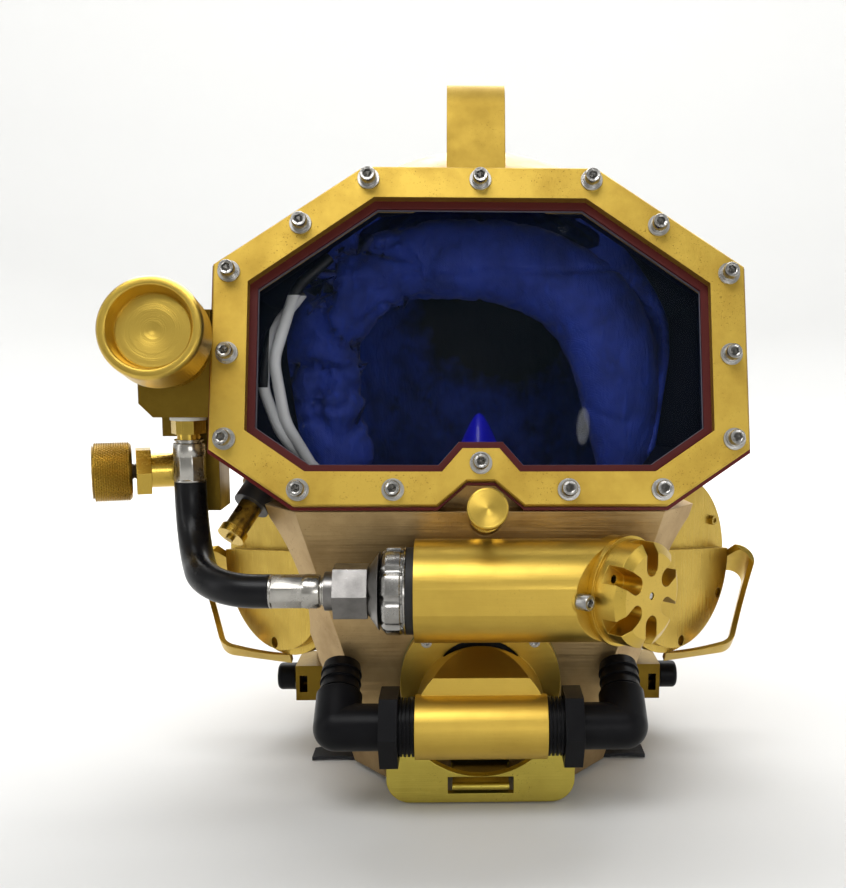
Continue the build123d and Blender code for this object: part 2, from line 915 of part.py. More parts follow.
def free_flow_knob():
    axis = free_flow_axis()
    knob = rod(axis, free_flow_knob_radius, free_flow_knob_back_w, free_flow_knob_front_w)
    floor_w = free_flow_knob_front_w - free_flow_dish_depth
    inner = free_flow_knob_radius - free_flow_rim
    knob -= cone(axis, inner - free_flow_rim, inner, floor_w, free_flow_knob_front_w + screw_slip)
    hub_end = free_flow_knob_back_w + free_flow_hub_length
    knob -= tube(axis, inner, free_flow_hub_radius, free_flow_knob_back_w - overrun, hub_end)
    return knob - rod(axis, free_flow_stem_radius + press_slip, free_flow_knob_back_w - overrun, hub_end)


def free_flow_stem():
    end = free_flow_knob_back_w + free_flow_hub_length - screw_slip
    return rod(free_flow_axis(), free_flow_stem_radius, free_flow_stem_back_w, end)


def free_flow_poppet():
    start = free_flow_stem_back_w - free_flow_lift - slip
    return rod(free_flow_axis(), free_flow_poppet_radius, start - free_flow_poppet_length, start)


def emergency_bonnet(solid):
    axis = emergency_axis()
    neck = rod(axis, emergency_neck_radius, -overrun, emergency_neck_length) - side_block_body()
    hex_end = emergency_neck_length + emergency_hex_length
    neck += hexagon(axis, emergency_hex_flats, emergency_neck_length, hex_end)
    return neck - rod(axis, emergency_stem_radius + slip, -housing_depth, housing_depth) - solid


def emergency_knob():
    axis = emergency_axis()
    start = emergency_neck_length + emergency_hex_length + emergency_knob_gap
    end = start + emergency_knob_length
    knob = rod(axis, emergency_knob_radius, start, end)
    bore_end = start + emergency_knob_length / 2
    return knob - rod(axis, emergency_stem_radius + press_slip, start - overrun, bore_end)


def emergency_stem():
    end = emergency_neck_length + emergency_hex_length + emergency_knob_gap + emergency_knob_length / 2
    return rod(emergency_axis(), emergency_stem_radius, -emergency_seat_depth, end - screw_slip)


def emergency_poppet():
    start = -emergency_seat_depth - emergency_lift - slip
    return rod(emergency_axis(), emergency_poppet_radius, start - emergency_poppet_length, start)


def supply_inlet():
    axis = inlet_axis()
    body = rod(axis, inlet_radius, 0, inlet_length) + hexagon(axis, inlet_hex_flats, 0, inlet_hex_length)
    seat_start = inlet_hex_length + check_poppet_length * 2
    body -= rod(axis, inlet_bore, -overrun, seat_start)
    body -= rod(axis, inlet_seat_radius, 0, seat_start + inlet_seat_length)
    return body - rod(axis, inlet_bore, seat_start + inlet_seat_length / 2, inlet_length + overrun)


def check_valve_poppet():
    end = inlet_hex_length + check_poppet_length * 2 - slip
    return rod(inlet_axis(), check_poppet_radius, end - check_poppet_length, end)


def hose_washer():
    return tube(fitting_axis(), hose_washer_radius, hose_bore, -hose_washer_thickness, 0)


def hose_fitting():
    axis = fitting_axis()
    top = -hose_washer_thickness
    hex_end = top - fitting_hex_length
    fitting = hexagon(axis, fitting_hex_flats, hex_end, top)
    fitting += rod(axis, fitting_neck_radius, hex_end - fitting_neck_length, hex_end)
    fitting += rod(axis, hose_bore - screw_slip, top, overrun)
    return fitting - rod(axis, hose_bore / 2, -housing_depth, overrun * 2)


def hose_places():
    """The corners of the hose, from the side block to the regulator."""
    top = (fitting_x, fitting_y, hose_top_z)
    low = (fitting_x, fitting_y, hose_low_z)
    return [top, low, (hose_turn_x, reg_y, reg_z), (lower_ferrule_x, reg_y, reg_z)]


def hose_ferrules():
    top_z = block_bottom_z - hose_washer_thickness - fitting_hex_length - fitting_neck_length
    upper = axis_plane((fitting_x, fitting_y, hose_top_z), (0, 0, 1))
    first = rod(upper, ferrule_radius, 0, top_z - hose_top_z)
    lower = axis_plane((lower_ferrule_x, reg_y, reg_z), (1, 0, 0))
    second = rod(lower, ferrule_radius, 0, swivel_collar_x - lower_ferrule_x)
    return group([first, second])


def supply_hose():
    return pipe(run(hose_places(), [hose_top_bend, hose_turn_bend]), hose_radius)


def regulator_axis():
    return axis_plane((0, reg_y, reg_z), (1, 0, 0))


def cap_plane():
    """The mitred end of the regulator."""
    turn = math.radians(reg_mitre_turn)
    return axis_plane((reg_mitre_x, reg_y, reg_z), (math.cos(turn), -math.sin(turn), 0))


def regulator_outside():
    axis = regulator_axis()
    cap = cap_plane()
    reach = reg_mitre_x + reg_flange_reach + reg_radius
    body = rod(axis, reg_radius, reg_left_x, reach)
    flat_y = reg_y - reg_radius + reg_flat_depth
    flat_heights = (reg_z - reg_radius, reg_z + reg_radius)
    body -= block(reg_left_x - overrun, reach, flat_y - overrun, flat_y, *flat_heights)
    body -= cap * Pos(0, 0, reach / 2) * Box(reach * 2, reach * 2, reach)
    lobe_x = reg_flange_reach - reg_lobe_radius
    lobes = [Pos(-lobe_x, 0) * Circle(reg_lobe_radius), Pos(lobe_x, 0) * Circle(reg_lobe_radius)]
    outline_face = make_hull((lobes[0] + lobes[1] + Circle(reg_flange_half_height)).edges())
    return body + plate(outline_face, cap, -reg_flange_thickness, 0)


def regulator_body():
    axis = regulator_axis()
    cap = cap_plane()
    body = regulator_outside()
    mount = regulator_mount()
    reach = panel_y(reg_z) - reg_y
    body += rod(mount, reg_boss_radius, 0, reach) + rod(mount, reg_tail_radius, -reg_tail_length, 0)
    reach_x = reg_mitre_x + reg_radius * 2
    bore = rod(axis, reg_bore, reg_left_x + reg_end_wall, reach_x)
    bore -= cap * Pos(0, 0, reach_x / 2 - reg_chamber_depth) * Box(reach_x * 2, reach_x * 2, reach_x)
    bore += rod(cap, reg_chamber, -reg_chamber_depth, overrun)
    body -= bore
    body -= rod(mount, reg_tail_bore, -reg_tail_length - overrun, reach - reg_bore / 2)
    barrel_start = reg_left_x + reg_end_wall / 2
    body += rod(axis, barrel_radius, barrel_start, barrel_end_x)
    for end in (-1, 1):
        inner = reg_z + end * fork_inside
        outer = reg_z + end * (fork_inside + fork_arm)
        fork_y = reg_y + lever_pivot_drop
        past = fork_arm * fork_end_share
        fork_end_x = lever_pivot_x + past
        body += block(barrel_end_x - overrun, fork_end_x, reg_y - fork_arm, fork_y + past, inner, outer)
    body -= rod(axis, barrel_bore, reg_left_x - overrun, barrel_end_x + screw_slip)
    pivot = axis_plane((lever_pivot_x, reg_y + lever_pivot_drop, reg_z), (0, 0, 1))
    body -= rod(pivot, lever_pin_radius + screw_slip, -reg_bore / 2, reg_bore / 2)
    for lobe in (-1, 1):
        place = cap * Pos(lobe * cover_screw_reach, 0, 0)
        body -= rod(place, cover_screw_radius + screw_slip, -reg_flange_thickness - overrun, overrun)
    return body


def regulator_cover():
    cap = cap_plane()
    shoulder = cover_length - cover_chamfer_length
    cover = rod(cap, cover_rim_radius, 0, cover_rim_thickness) + rod(cap, cover_radius, 0, shoulder)
    cover += cone(cap, cover_radius, cover_face_radius, shoulder, cover_length)
    cover -= rod(cap, reg_chamber, -overrun, cover_cavity_depth)
    cover -= rod(cap, pin_radius + slip, 0, cover_length + overrun)
    for k in range(cover_slot_count):
        spoke = cap * Rot(0, 0, 360 / cover_slot_count * (k + 0.5))
        middle = (cover_slot_floor + cover_length + overrun) / 2
        tall = cover_length + overrun - cover_slot_floor
        slot_length = cover_rim_radius
        cut = Pos(cover_slot_inner + slot_length / 2, 0, middle) * Box(slot_length, cover_slot_width, tall)
        cut += Pos(cover_slot_inner, 0, middle) * Cylinder(cover_slot_width / 2, tall)
        cover -= spoke * cut
        cover -= rod(spoke * Pos(cover_port_ring, 0, 0), cover_port_radius, 0, cover_length)
    return cover


def cover_screws():
    cap = cap_plane()
    screws = []
    for lobe in (-1, 1):
        place = cap * Pos(lobe * cover_screw_reach, 0, 0)
        head = (cover_screw_head_radius, cover_screw_head_height, screw_socket_flats, screw_socket_depth)
        screws.append(socket_screw(place, cover_screw_radius, *head, reg_flange_thickness))
    return group(screws)


def purge_pin():
    cap = cap_plane()
    foot = press_slip * 2 + diaphragm_thickness
    pin = rod(cap, pin_radius, foot, cover_length - pin_recess)
    return pin + rod(cap, pin_flange_radius, foot, foot + pin_flange_thickness)


def diaphragm():
    return rod(cap_plane(), diaphragm_radius, press_slip * 2, press_slip * 2 + diaphragm_thickness)


def demand_lever():
    y = reg_y + lever_pivot_drop
    half = lever_width / 2
    thin = lever_thickness / 2
    arm = block(lever_pivot_x - thin, lever_tip_x, reg_y - thin, reg_y + thin, reg_z - half, reg_z + half)
    arm += block(lever_pivot_x - thin, lever_pivot_x + thin, reg_y, y, reg_z - half, reg_z + half)
    pivot = axis_plane((lever_pivot_x, y, reg_z), (0, 0, 1))
    pin_half = fork_inside + fork_arm
    return arm + rod(pivot, thin * 2, -half, half) + rod(pivot, lever_pin_radius, -pin_half, pin_half)


def demand_poppet():
    end = lever_pivot_x - lever_thickness / 2 - slip
    poppet = rod(regulator_axis(), demand_poppet_radius, demand_poppet_back_x, end - demand_tip_length)
    return poppet + rod(regulator_axis(), demand_tip_radius, demand_poppet_back_x, end)


def regulator_nut():
    mount = regulator_mount()
    start = -shell_wall - screw_slip
    nut = hexagon(mount, reg_nut_flats, start - reg_nut_length, start)
    return nut - rod(mount, reg_tail_radius + screw_slip, -housing_depth, overrun)


def inlet_seal_ring():
    end = reg_left_x
    return tube(regulator_axis(), seal_ring_radius, seal_ring_bore, end - seal_ring_thickness, end)


def inlet_wheel():
    axis = regulator_axis()
    wheel = rod(axis, wheel_radius, wheel_front_x, wheel_back_x)
    for k in range(wheel_lobes):
        place = axis * Rot(0, 0, 360 / wheel_lobes * k) * Pos(wheel_radius * wheel_groove_offset_share, 0, 0)
        wheel -= rod(place, wheel_groove_radius, wheel_front_x - overrun, wheel_back_x + overrun)
    return wheel - rod(axis, wheel_bore, wheel_front_x - overrun, wheel_back_x + overrun)


def hose_swivel_nut():
    axis = regulator_axis()
    nut = rod(axis, sleeve_radius, wheel_front_x - slip, reg_left_x - seal_ring_thickness)
    nut += cone(axis, swivel_cone_radius, swivel_cone_big_radius, swivel_cone_x, wheel_front_x - slip)
    nut += hexagon(axis, swivel_hex_flats, swivel_hex_x, swivel_cone_x)
    nut += rod(axis, swivel_collar_radius, swivel_collar_x, swivel_hex_x)
    return nut - rod(axis, hose_bore, swivel_collar_x - overrun, 0)


def nose_gland():
    axis = nose_axis()
    gland = rod(axis, gland_radius, gland_back_w, gland_front_w)
    gland -= rod(axis, gland_bore, gland_back_w - overrun, gland_front_w - gland_bore / 2)
    return gland - rod(axis, nose_shaft_radius + slip, gland_back_w, overrun)


def nose_packing():
    axis = nose_axis()
    middle = (gland_back_w + gland_front_w) / 2
    start = middle - packing_length / 2
    return tube(axis, gland_bore - screw_slip, nose_shaft_radius + screw_slip, start, start + packing_length)


def nose_shaft():
    front_w = nose_knob_front_w - nose_knob_length + nose_knob_bore_depth
    return rod(nose_axis(), nose_shaft_radius, nose_shaft_back_w, front_w)


def nose_knob():
    axis = nose_axis()
    start = nose_knob_front_w - nose_knob_length
    knob = rod(axis, nose_knob_radius, start, nose_knob_front_w)
    bore_end = start + nose_knob_bore_depth + screw_slip
    return knob - rod(axis, nose_shaft_radius + press_slip, start - overrun, bore_end)


def nose_pad():
    axis = nose_axis()
    end = nose_shaft_back_w
    pad = axis * Pos(0, 0, end - pad_thickness / 2) * Box(pad_length, pad_height, pad_thickness)
    return fillet(pad.edges().filter_by(Axis.X, reverse=True), pad_thickness / 4)


def oral_nasal_mask():
    axis = axis_plane((0, mask_front_y, mask_z), (0, 1, 0))
    depth = mask_rim_y - mask_front_y
    mask = cone(axis, mask_front_radius, mask_rim_radius, 0, depth)
    front_bore = mask_front_radius - mask_wall
    rim_bore = mask_rim_radius - mask_wall
    mask -= cone(axis, front_bore, rim_bore, mask_wall, depth + screw_slip)
    mask -= rod(regulator_mount(), reg_tail_radius + press_slip, -housing_depth, 0)
    return mask - rod(nose_axis(), nose_shaft_radius + slip * 4, -housing_depth, 0)


def exhaust_pipe_axis():
    return axis_plane((0, exhaust_pipe_y, exhaust_pipe_z), (1, 0, 0))


def exhaust_places():
    """The small screws of the exhaust flange."""
    mount = exhaust_mount()
    places = []
    for angle in exhaust_screw_angles:
        places.append(mount * Rot(0, 0, angle) * Pos(exhaust_screw_ring, 0, 0))
    return places


def exhaust_body():
    mount = exhaust_mount()
    start = exhaust_gasket_thickness
    end = start + exhaust_flange_thickness
    half = exhaust_half_width
    back_y = panel_y(exhaust_z) - end
    low_z = exhaust_pipe_z - exhaust_pipe_radius
    top_z = exhaust_saddle_z + exhaust_saddle_radius
    side = [(back_y, low_z), (exhaust_pipe_y, low_z), (exhaust_pipe_y, exhaust_hollow_z)]
    side += [(exhaust_crease_y, exhaust_crease_z), (exhaust_apex_y, top_z), (back_y, top_z)]
    profile = Plane.YZ * make_face(Polyline(*side, close=True))
    saddle = extrude(profile, half, both=True)
    dome = axis_plane((0, 0, exhaust_saddle_z), (0, -1, 0))
    below = block(-half, half, exhaust_pipe_y * 2, 0, 0, exhaust_saddle_z)
    saddle &= rod(dome, exhaust_saddle_radius, 0, -exhaust_pipe_y * 2) + below
    body = rod(mount, exhaust_flange_radius, start, end) + saddle
    body += rod(exhaust_pipe_axis(), exhaust_pipe_radius, -half, half)
    body -= rod(exhaust_pipe_axis(), exhaust_bore, -half - overrun, half + overrun)
    body -= rod(mount, exhaust_cavity_radius, 0, start + exhaust_cavity_depth)
    reach = panel_y(exhaust_z) - exhaust_pipe_y - exhaust_bore / 2
    body -= rod(mount, exhaust_inner_port, 0, reach)
    for end_x in (-half, half):
        inner = end_x - math.copysign(elbow_thread_in + slip, end_x)
        body -= rod(exhaust_pipe_axis(), thread_root_radius + screw_slip, inner, end_x * 2)
    for place in exhaust_places():
        body -= rod(place, small_screw_radius + screw_slip, 0, end + overrun)
        body -= rod(place, small_head_radius + slip, end, end + overrun * 6)
    return body


def exhaust_gasket():
    mount = exhaust_mount()
    gasket = tube(mount, exhaust_flange_radius, exhaust_cavity_radius + slip, 0, exhaust_gasket_thickness)
    for place in exhaust_places():
        gasket -= rod(place, small_screw_radius + screw_slip, -overrun, overrun)
    return gasket


def exhaust_screws():
    top = exhaust_gasket_thickness + exhaust_flange_thickness
    screws = []
    for place in exhaust_places():
        head = (small_head_radius, small_head_height, small_head_radius, small_head_height / 2)
        screws.append(socket_screw(place * Pos(0, 0, top), small_screw_radius, *head, top))
    return group(screws)


def exhaust_valve():
    mount = exhaust_mount()
    return rod(mount, exhaust_valve_radius, slip, slip + exhaust_valve_thickness)


def elbow(side):
    """A threaded elbow: stub in the manifold, barrel, corner and a barbed leg back and up."""
    pipe_axis = exhaust_pipe_axis()
    start = exhaust_half_width - elbow_thread_in
    corner = Vector(elbow_corner_x, exhaust_pipe_y, exhaust_pipe_z)
    slope = math.hypot(leg_rise, leg_run)
    leg_axis = axis_plane(corner, (0, leg_run / slope, leg_rise / slope))
    body = rod(pipe_axis, thread_root_radius, start, elbow_nut_end)
    first = exhaust_half_width + thread_pitch / 4
    for k in range(thread_count):
        ridge = first + thread_pitch * k
        body += rod(pipe_axis, thread_radius, ridge, ridge + thread_pitch / 2)
    body += rod(pipe_axis, elbow_radius, elbow_nut_end - overrun, elbow_corner_x)
    body += Pos(corner) * Sphere(elbow_radius)
    body += rod(leg_axis, elbow_radius, 0, slope / 2) + rod(leg_axis, leg_radius - barb_height, 0, slope)
    for k in range(barb_count):
        end = slope - barb_pitch * k
        body += cone(leg_axis, leg_radius, leg_radius - barb_height, end - barb_pitch, end)
    body -= rod(pipe_axis, elbow_bore, start - overrun, elbow_corner_x)
    body -= Pos(corner) * Sphere(elbow_bore)
    body -= rod(leg_axis, leg_bore, 0, slope + overrun)
    return body if side > 0 else mirrored(body)


def elbows():
    return group([elbow(-1), elbow(1)])


def elbow_nuts():
    axis = exhaust_pipe_axis()
    nut = hexagon(axis, elbow_nut_flats, elbow_nut_start, elbow_nut_end)
    nut -= rod(axis, thread_radius + slip, 0, elbow_nut_end + overrun)
    return group([nut, mirrored(nut)])


def chin_plate(solid):
    half = chin_half_width
    back_y = chin_front_y + chin_thickness
    plate_box = block(-half, half, chin_front_y, back_y, chin_bottom_z, chin_top_z)
    low = plate_box.edges().filter_by(Axis.Y).group_by(Axis.Z)[0]
    chin = fillet(low, chin_corner_radius)
    slot_half = chin_slot_half_width
    slot_depth = (chin_front_y - overrun, back_y + overrun)
    chin -= block(-slot_half, slot_half, *slot_depth, chin_slot_bottom_z, chin_slot_top_z)
    for side in (-1, 1):
        inner = side * chin_cheek_in
        outer = side * (chin_cheek_in + chin_cheek_thickness)
        cheek_back = prow_foot_y + overrun
        cheek_front = back_y - chin_thickness / 2
        chin += block(inner, outer, cheek_front, cheek_back, chin_cheek_bottom_z, chin_cheek_top_z)
    chin -= rod(exhaust_mount(), exhaust_flange_radius + chin_scallop_gap, -overrun, exhaust_flange_radius)
    return chin - solid


def neck_ring():
    """The ring under the neck, filling the foot of the prow, with its tongue in the chin plate."""
    inset = shell_wall + ring_outer_gap
    front = shell_wall + ring_front_gap
    disc = Circle(neck_radius - inset) + prow_level(prow_foot_half, prow_foot_y, 0, front)
    ring = extrude(disc, ring_height) + rod(Plane.XY, neck_radius - shell_wall / 2 - slip, 0, shell_foot_z)
    ring -= rod(Plane.XY, ring_bore, -overrun, ring_height + overrun)
    low = tongue_z - tongue_thickness / 2
    high = tongue_z + tongue_thickness / 2
    root_y = prow_foot_y + front + overrun
    ring += block(-tongue_half_width, tongue_half_width, tongue_tip_y, root_y, low, high)
    ring += block(-tongue_half_width, tongue_half_width, prow_foot_y + front, root_y, ring_height / 2, high)
    tip = axis_plane((0, tongue_tip_y + tongue_tip_radius / 2, tongue_z), (1, 0, 0))
    return ring + rod(tip, tongue_tip_radius, -tongue_half_width, tongue_half_width)


def neck_dam():
    plane = Plane.XY.offset(ring_height)
    rise = dam_neck_z - ring_height
    dam = cone(plane, dam_foot_radius, dam_neck_radius, 0, rise)
    inner = cone(plane, dam_foot_radius - dam_thickness, dam_neck_radius - dam_thickness, 0, rise)
    dam -= inner
    dam += tube(plane, dam_foot_radius, ring_bore, 0, dam_thickness)
    return dam - rod(plane, dam_neck_radius - dam_thickness, 0, rise * 2)


def latch_axis():
    return axis_plane((0, latch_y, latch_z), (1, 0, 0))


def latch_brackets(solid):
    depth = (bracket_front_y, bracket_back_y)
    bracket = block(bracket_in_x, bracket_out_x, *depth, bracket_bottom_z, bracket_top_z) - solid
    bracket -= rod(latch_axis(), latch_pin_radius + latch_pin_gap, 0, bracket_out_x + overrun)
    window_x = (latch_pin_in_x + bracket_out_x) / 2
    half_width = bracket_window_width / 4
    half_height = bracket_window_height / 2
    heights = (latch_z - half_height, latch_z + half_height)
    past = bracket_front_y - overrun
    bracket -= block(window_x - half_width, window_x + half_width, past, latch_y, *heights)
    return group([bracket, mirrored(bracket)])


def latch_pin(side):
    axis = latch_axis()
    pin = rod(axis, latch_pin_radius, latch_pin_in_x, latch_knob_in_x)
    pin += rod(axis, latch_knob_radius, latch_knob_in_x, latch_knob_out_x)
    rim = pin.faces().sort_by(Axis.X)[-1].edges()
    pin = fillet(rim, latch_knob_radius / 3)
    return pin if side > 0 else mirrored(pin)


def comms_terminal():
    plane = comms_plane()
    collar = rod(plane, comms_collar_radius, comms_boss_front, comms_collar_front)
    post = rod(plane, comms_post_radius, comms_collar_front, comms_post_front)
    across = plane * Pos(0, 0, comms_cross_at) * Rot(90, 0, 0)
    post -= across * Cylinder(comms_cross_radius, comms_post_radius * 4)
    post += rod(plane, comms_stud_radius, comms_post_front, comms_stud_front)
    return group([collar, post])


def comms_thumb_nut():
    plane = comms_plane()
    return tube(plane, comms_nut_radius, comms_stud_radius + screw_slip, comms_nut_back, comms_nut_front)


def comms_wires():
    wires = []
    for route in wire_routes:
        places = [(side_x + x, y, z) for x, y, z in route]
        wires.append(pipe(run(places, wire_bend), wire_radius))
    return group(wires)


def head_liner():
    liner = bowl(shell_wall + liner_gap) - bowl(shell_wall + liner_gap + liner_thickness)
    half = crown_radius * 2
    liner &= block(-half, half, liner_front_y, half, liner_bottom_z, liner_top_z)
    low = [(side * hood_roll_half, hood_roll_y, hood_roll_foot_z) for side in (-1, 1)]
    high = [(side * hood_roll_half, hood_roll_y, hood_roll_top_z) for side in (-1, 1)]
    roll = pipe(run([low[0], high[0], high[1], low[1]], hood_roll_bend), hood_roll_radius)
    liner += roll & bowl(shell_wall + liner_gap)
    for side in (-1, 1):
        reach = ear_floor + ear_lip + earphone_thickness
        liner -= rod(ear_plane(side), ear_can_radius + liner_can_gap, -ear_can_length - reach, overrun)
    liner -= housing(housing_w, shell_wall + liner_gap)
    return liner


def strap_ends(solid):
    end = block(strap_in_x, strap_out_x, strap_front_y, strap_back_y, 0, strap_thickness)
    end = end - solid - Cylinder(neck_radius - shell_wall / 2, strap_thickness * 4)
    return group([end, mirrored(end)])


def main():
    os.makedirs("parts", exist_ok=True)
    solid = shell_body()
    pieces = {
        "helmet_shell": helmet_shell(solid),
        "face_frame": face_frame(),
        "port_gasket": port_gasket(),
        "face_port": face_port(),
        "port_screws": port_screws(),
        "port_washers": port_washers(),
        "top_handle": top_handle(solid),
        "ear_covers": ear_covers(),
        "ear_gaskets": ear_gaskets(),
        "small_screws": group([ear_cover_screws(), exhaust_screws()]),
        "earphones_and_microphone": earphones_and_microphone(),
        "side_handles": side_handles(),
        "side_block": side_block(solid),
        "free_flow_bonnet": free_flow_bonnet(),
        "free_flow_knob": free_flow_knob(),
        "free_flow_stem": free_flow_stem(),
        "free_flow_poppet": free_flow_poppet(),
        "emergency_bonnet": emergency_bonnet(solid),
        "emergency_knob": emergency_knob(),
        "emergency_stem": emergency_stem(),
        "emergency_poppet": emergency_poppet(),
        "supply_inlet": supply_inlet(),
        "check_valve_poppet": check_valve_poppet(),
        "hose_washer": hose_washer(),
        "hose_fitting": hose_fitting(),
        "hose_ferrules": hose_ferrules(),
        "supply_hose": supply_hose(),
        "regulator_body": regulator_body(),
        "regulator_cover": regulator_cover(),
        "cover_screws": cover_screws(),
        "purge_pin": purge_pin(),
        "diaphragm": diaphragm(),
        "demand_lever": demand_lever(),
        "demand_poppet": demand_poppet(),
        "regulator_nut": regulator_nut(),
        "inlet_seal_ring": inlet_seal_ring(),
        "inlet_wheel": inlet_wheel(),
        "hose_swivel_nut": hose_swivel_nut(),
        "nose_gland": nose_gland(),
        "nose_packing": nose_packing(),
        "nose_shaft": nose_shaft(),
        "nose_knob": nose_knob(),
        "nose_pad": nose_pad(),
        "oral_nasal_mask": oral_nasal_mask(),
        "exhaust_body": exhaust_body(),
        "exhaust_gasket": exhaust_gasket(),
        "exhaust_valve": exhaust_valve(),
        "elbows": elbows(),
        "elbow_nuts": elbow_nuts(),
        "chin_plate": chin_plate(solid),
        "neck_ring": neck_ring(),
        "neck_dam": neck_dam(),
        "latch_brackets": latch_brackets(solid),
        "latch_pin_left": latch_pin(1),
        "latch_pin_right": latch_pin(-1),
        "comms_terminal": comms_terminal(),
        "comms_thumb_nut": comms_thumb_nut(),
        "comms_wires": comms_wires(),
        "head_liner": head_liner(),
        "strap_ends": strap_ends(solid),
    }
    for name, shape in pieces.items():
        export_step(shape, f"parts/{name}.step")


main()
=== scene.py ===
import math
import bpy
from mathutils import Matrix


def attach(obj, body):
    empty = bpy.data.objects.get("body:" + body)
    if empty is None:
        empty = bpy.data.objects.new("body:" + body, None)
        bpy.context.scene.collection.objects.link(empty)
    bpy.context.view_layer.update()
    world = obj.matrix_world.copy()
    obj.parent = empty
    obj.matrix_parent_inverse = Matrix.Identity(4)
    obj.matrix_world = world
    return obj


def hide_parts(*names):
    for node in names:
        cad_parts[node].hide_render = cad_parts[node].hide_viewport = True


bl_info = {
    "name": "Brass Diving Helmet",
    "version": (1, 0, 0),
    "blender": (4, 5, 0),
    "location": "3D View > Sidebar > Helmet",
    "description": "Dresses the packed frame of a surface supplied diving helmet with its finished pieces",
    "category": "Object",
}

import bmesh
import bpy
from mathutils import Matrix, Vector, noise

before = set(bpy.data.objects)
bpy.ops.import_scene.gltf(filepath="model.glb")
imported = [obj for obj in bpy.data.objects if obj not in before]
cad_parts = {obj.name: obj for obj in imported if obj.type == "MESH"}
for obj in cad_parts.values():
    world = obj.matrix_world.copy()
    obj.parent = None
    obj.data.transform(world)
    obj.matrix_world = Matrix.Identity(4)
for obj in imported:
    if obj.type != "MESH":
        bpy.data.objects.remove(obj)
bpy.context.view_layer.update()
MM = 0.001
ACROSS = (1, 0, 0)
UPRIGHT = (0, 0, 1)

# The plane of the face port
LEAN = math.radians(15)
FACE_OUT = Vector((0, -math.cos(LEAN), math.sin(LEAN)))
FACE_UP = Vector((0, math.sin(LEAN), math.cos(LEAN)))
FACE_AT = Vector((0, -115, 233)) * MM

# Outlines on that plane, in shares of a half width and of a height above its middle
FRAME_HALF, FRAME_TOP = 134.0, 92.8
FRAME_OUTLINE = [(0.443, 1.0), (1.0, 0.442), (1.0, -0.569), (0.689, -0.873), (0.160, -0.873), (0.052, -0.740)]
WINDOW_HALF, WINDOW_TOP = 116.5, 76.5
WINDOW_OUTLINE = [(0.463, 1.0), (1.0, 0.421), (1.0, -0.566), (0.744, -0.835), (0.165, -0.837), (0.078, -0.684)]
SIDE_SCREWS = [(0.424, 0.927), (0.677, 0.670), (0.940, 0.400), (0.940, -0.050), (0.942, -0.515)]
SIDE_SCREWS += [(0.670, -0.787), (0.323, -0.787)]
MIDDLE_SCREWS = [0.925, -0.644]

GOLD = (0.60, 0.41, 0.075)
BRONZE = (0.46, 0.32, 0.15)
LINER_BLUE = (0.012, 0.045, 0.42)
PALE_FLOOR = (0.66, 0.66, 0.65)
JET = (0.004, 0.004, 0.005)


# Places

def axes(origin, out):
    """A place in metres whose local Z runs along a direction, from an origin in millimetres."""
    z = Vector(out).normalized()
    x = Vector(UPRIGHT).cross(z)
    x = x.normalized() if x.length > 1e-6 else Vector(ACROSS)
    y = z.cross(x)
    turn = Matrix((x, y, z)).transposed().to_4x4()
    return Matrix.Translation(Vector(origin) * MM) @ turn @ Matrix.Scale(MM, 4)


def face_place(p, q, w=0.0):
    """A place on the face port plane, its local Z out of the window."""
    at = FACE_AT + Vector(ACROSS) * p * MM + FACE_UP * q * MM + FACE_OUT * w * MM
    return axes(at / MM, FACE_OUT)


FREE_FLOW = face_place(-154.8, -0.65)
NOSE = face_place(2.5, -86.0)
EMERGENCY_TURN = math.radians(17)
EMERGENCY = axes((-147.7, -79.3, 166), (-math.cos(EMERGENCY_TURN), -math.sin(EMERGENCY_TURN), 0))
REGULATOR = axes((0, -150, 115.6), ACROSS)
CAP = axes((68, -150, 115.6), (math.sqrt(0.5), -math.sqrt(0.5), 0))
COMMS = axes((-120.9, -80, 149), (-0.42, -0.586, -0.693))


# Materials

class Wire:
    """A socket that takes part in sums, so a pattern is written as an expression."""

    def __init__(self, board, socket):
        self.board = board
        self.socket = socket

    def sum(self, operation, a, b=0.0):
        return self.board.add("ShaderNodeMath", {"operation": operation}, {0: a, 1: b})

    def __add__(self, other):
        return self.sum("ADD", self, other)

    __radd__ = __add__

    def __sub__(self, other):
        return self.sum("SUBTRACT", self, other)

    def __rsub__(self, other):
        return self.sum("SUBTRACT", other, self)

    def __mul__(self, other):
        return self.sum("MULTIPLY", self, other)

    __rmul__ = __mul__

    def __truediv__(self, other):
        return self.sum("DIVIDE", self, other)

    def __rtruediv__(self, other):
        return self.sum("DIVIDE", other, self)

    def __pow__(self, other):
        return self.sum("POWER", self, other)

    def __gt__(self, other):
        return self.sum("GREATER_THAN", self, other)

    def __lt__(self, other):
        return self.sum("LESS_THAN", self, other)

    def wave(self):
        """The sine of the value."""
        return self.sum("SINE", self)

    def size(self):
        """The value without its sign."""
        return self.sum("ABSOLUTE", self)

    def both(self, other):
        """The larger of two values."""
        return self.sum("MAXIMUM", self, other)

    def span(self, low, high, start=0.0, end=1.0):
        """The value carried from one range to another, held at its ends."""
        inputs = {"Value": self, "From Min": low, "From Max": high, "To Min": start, "To Max": end}
        return self.board.add("ShaderNodeMapRange", {"clamp": True}, inputs)


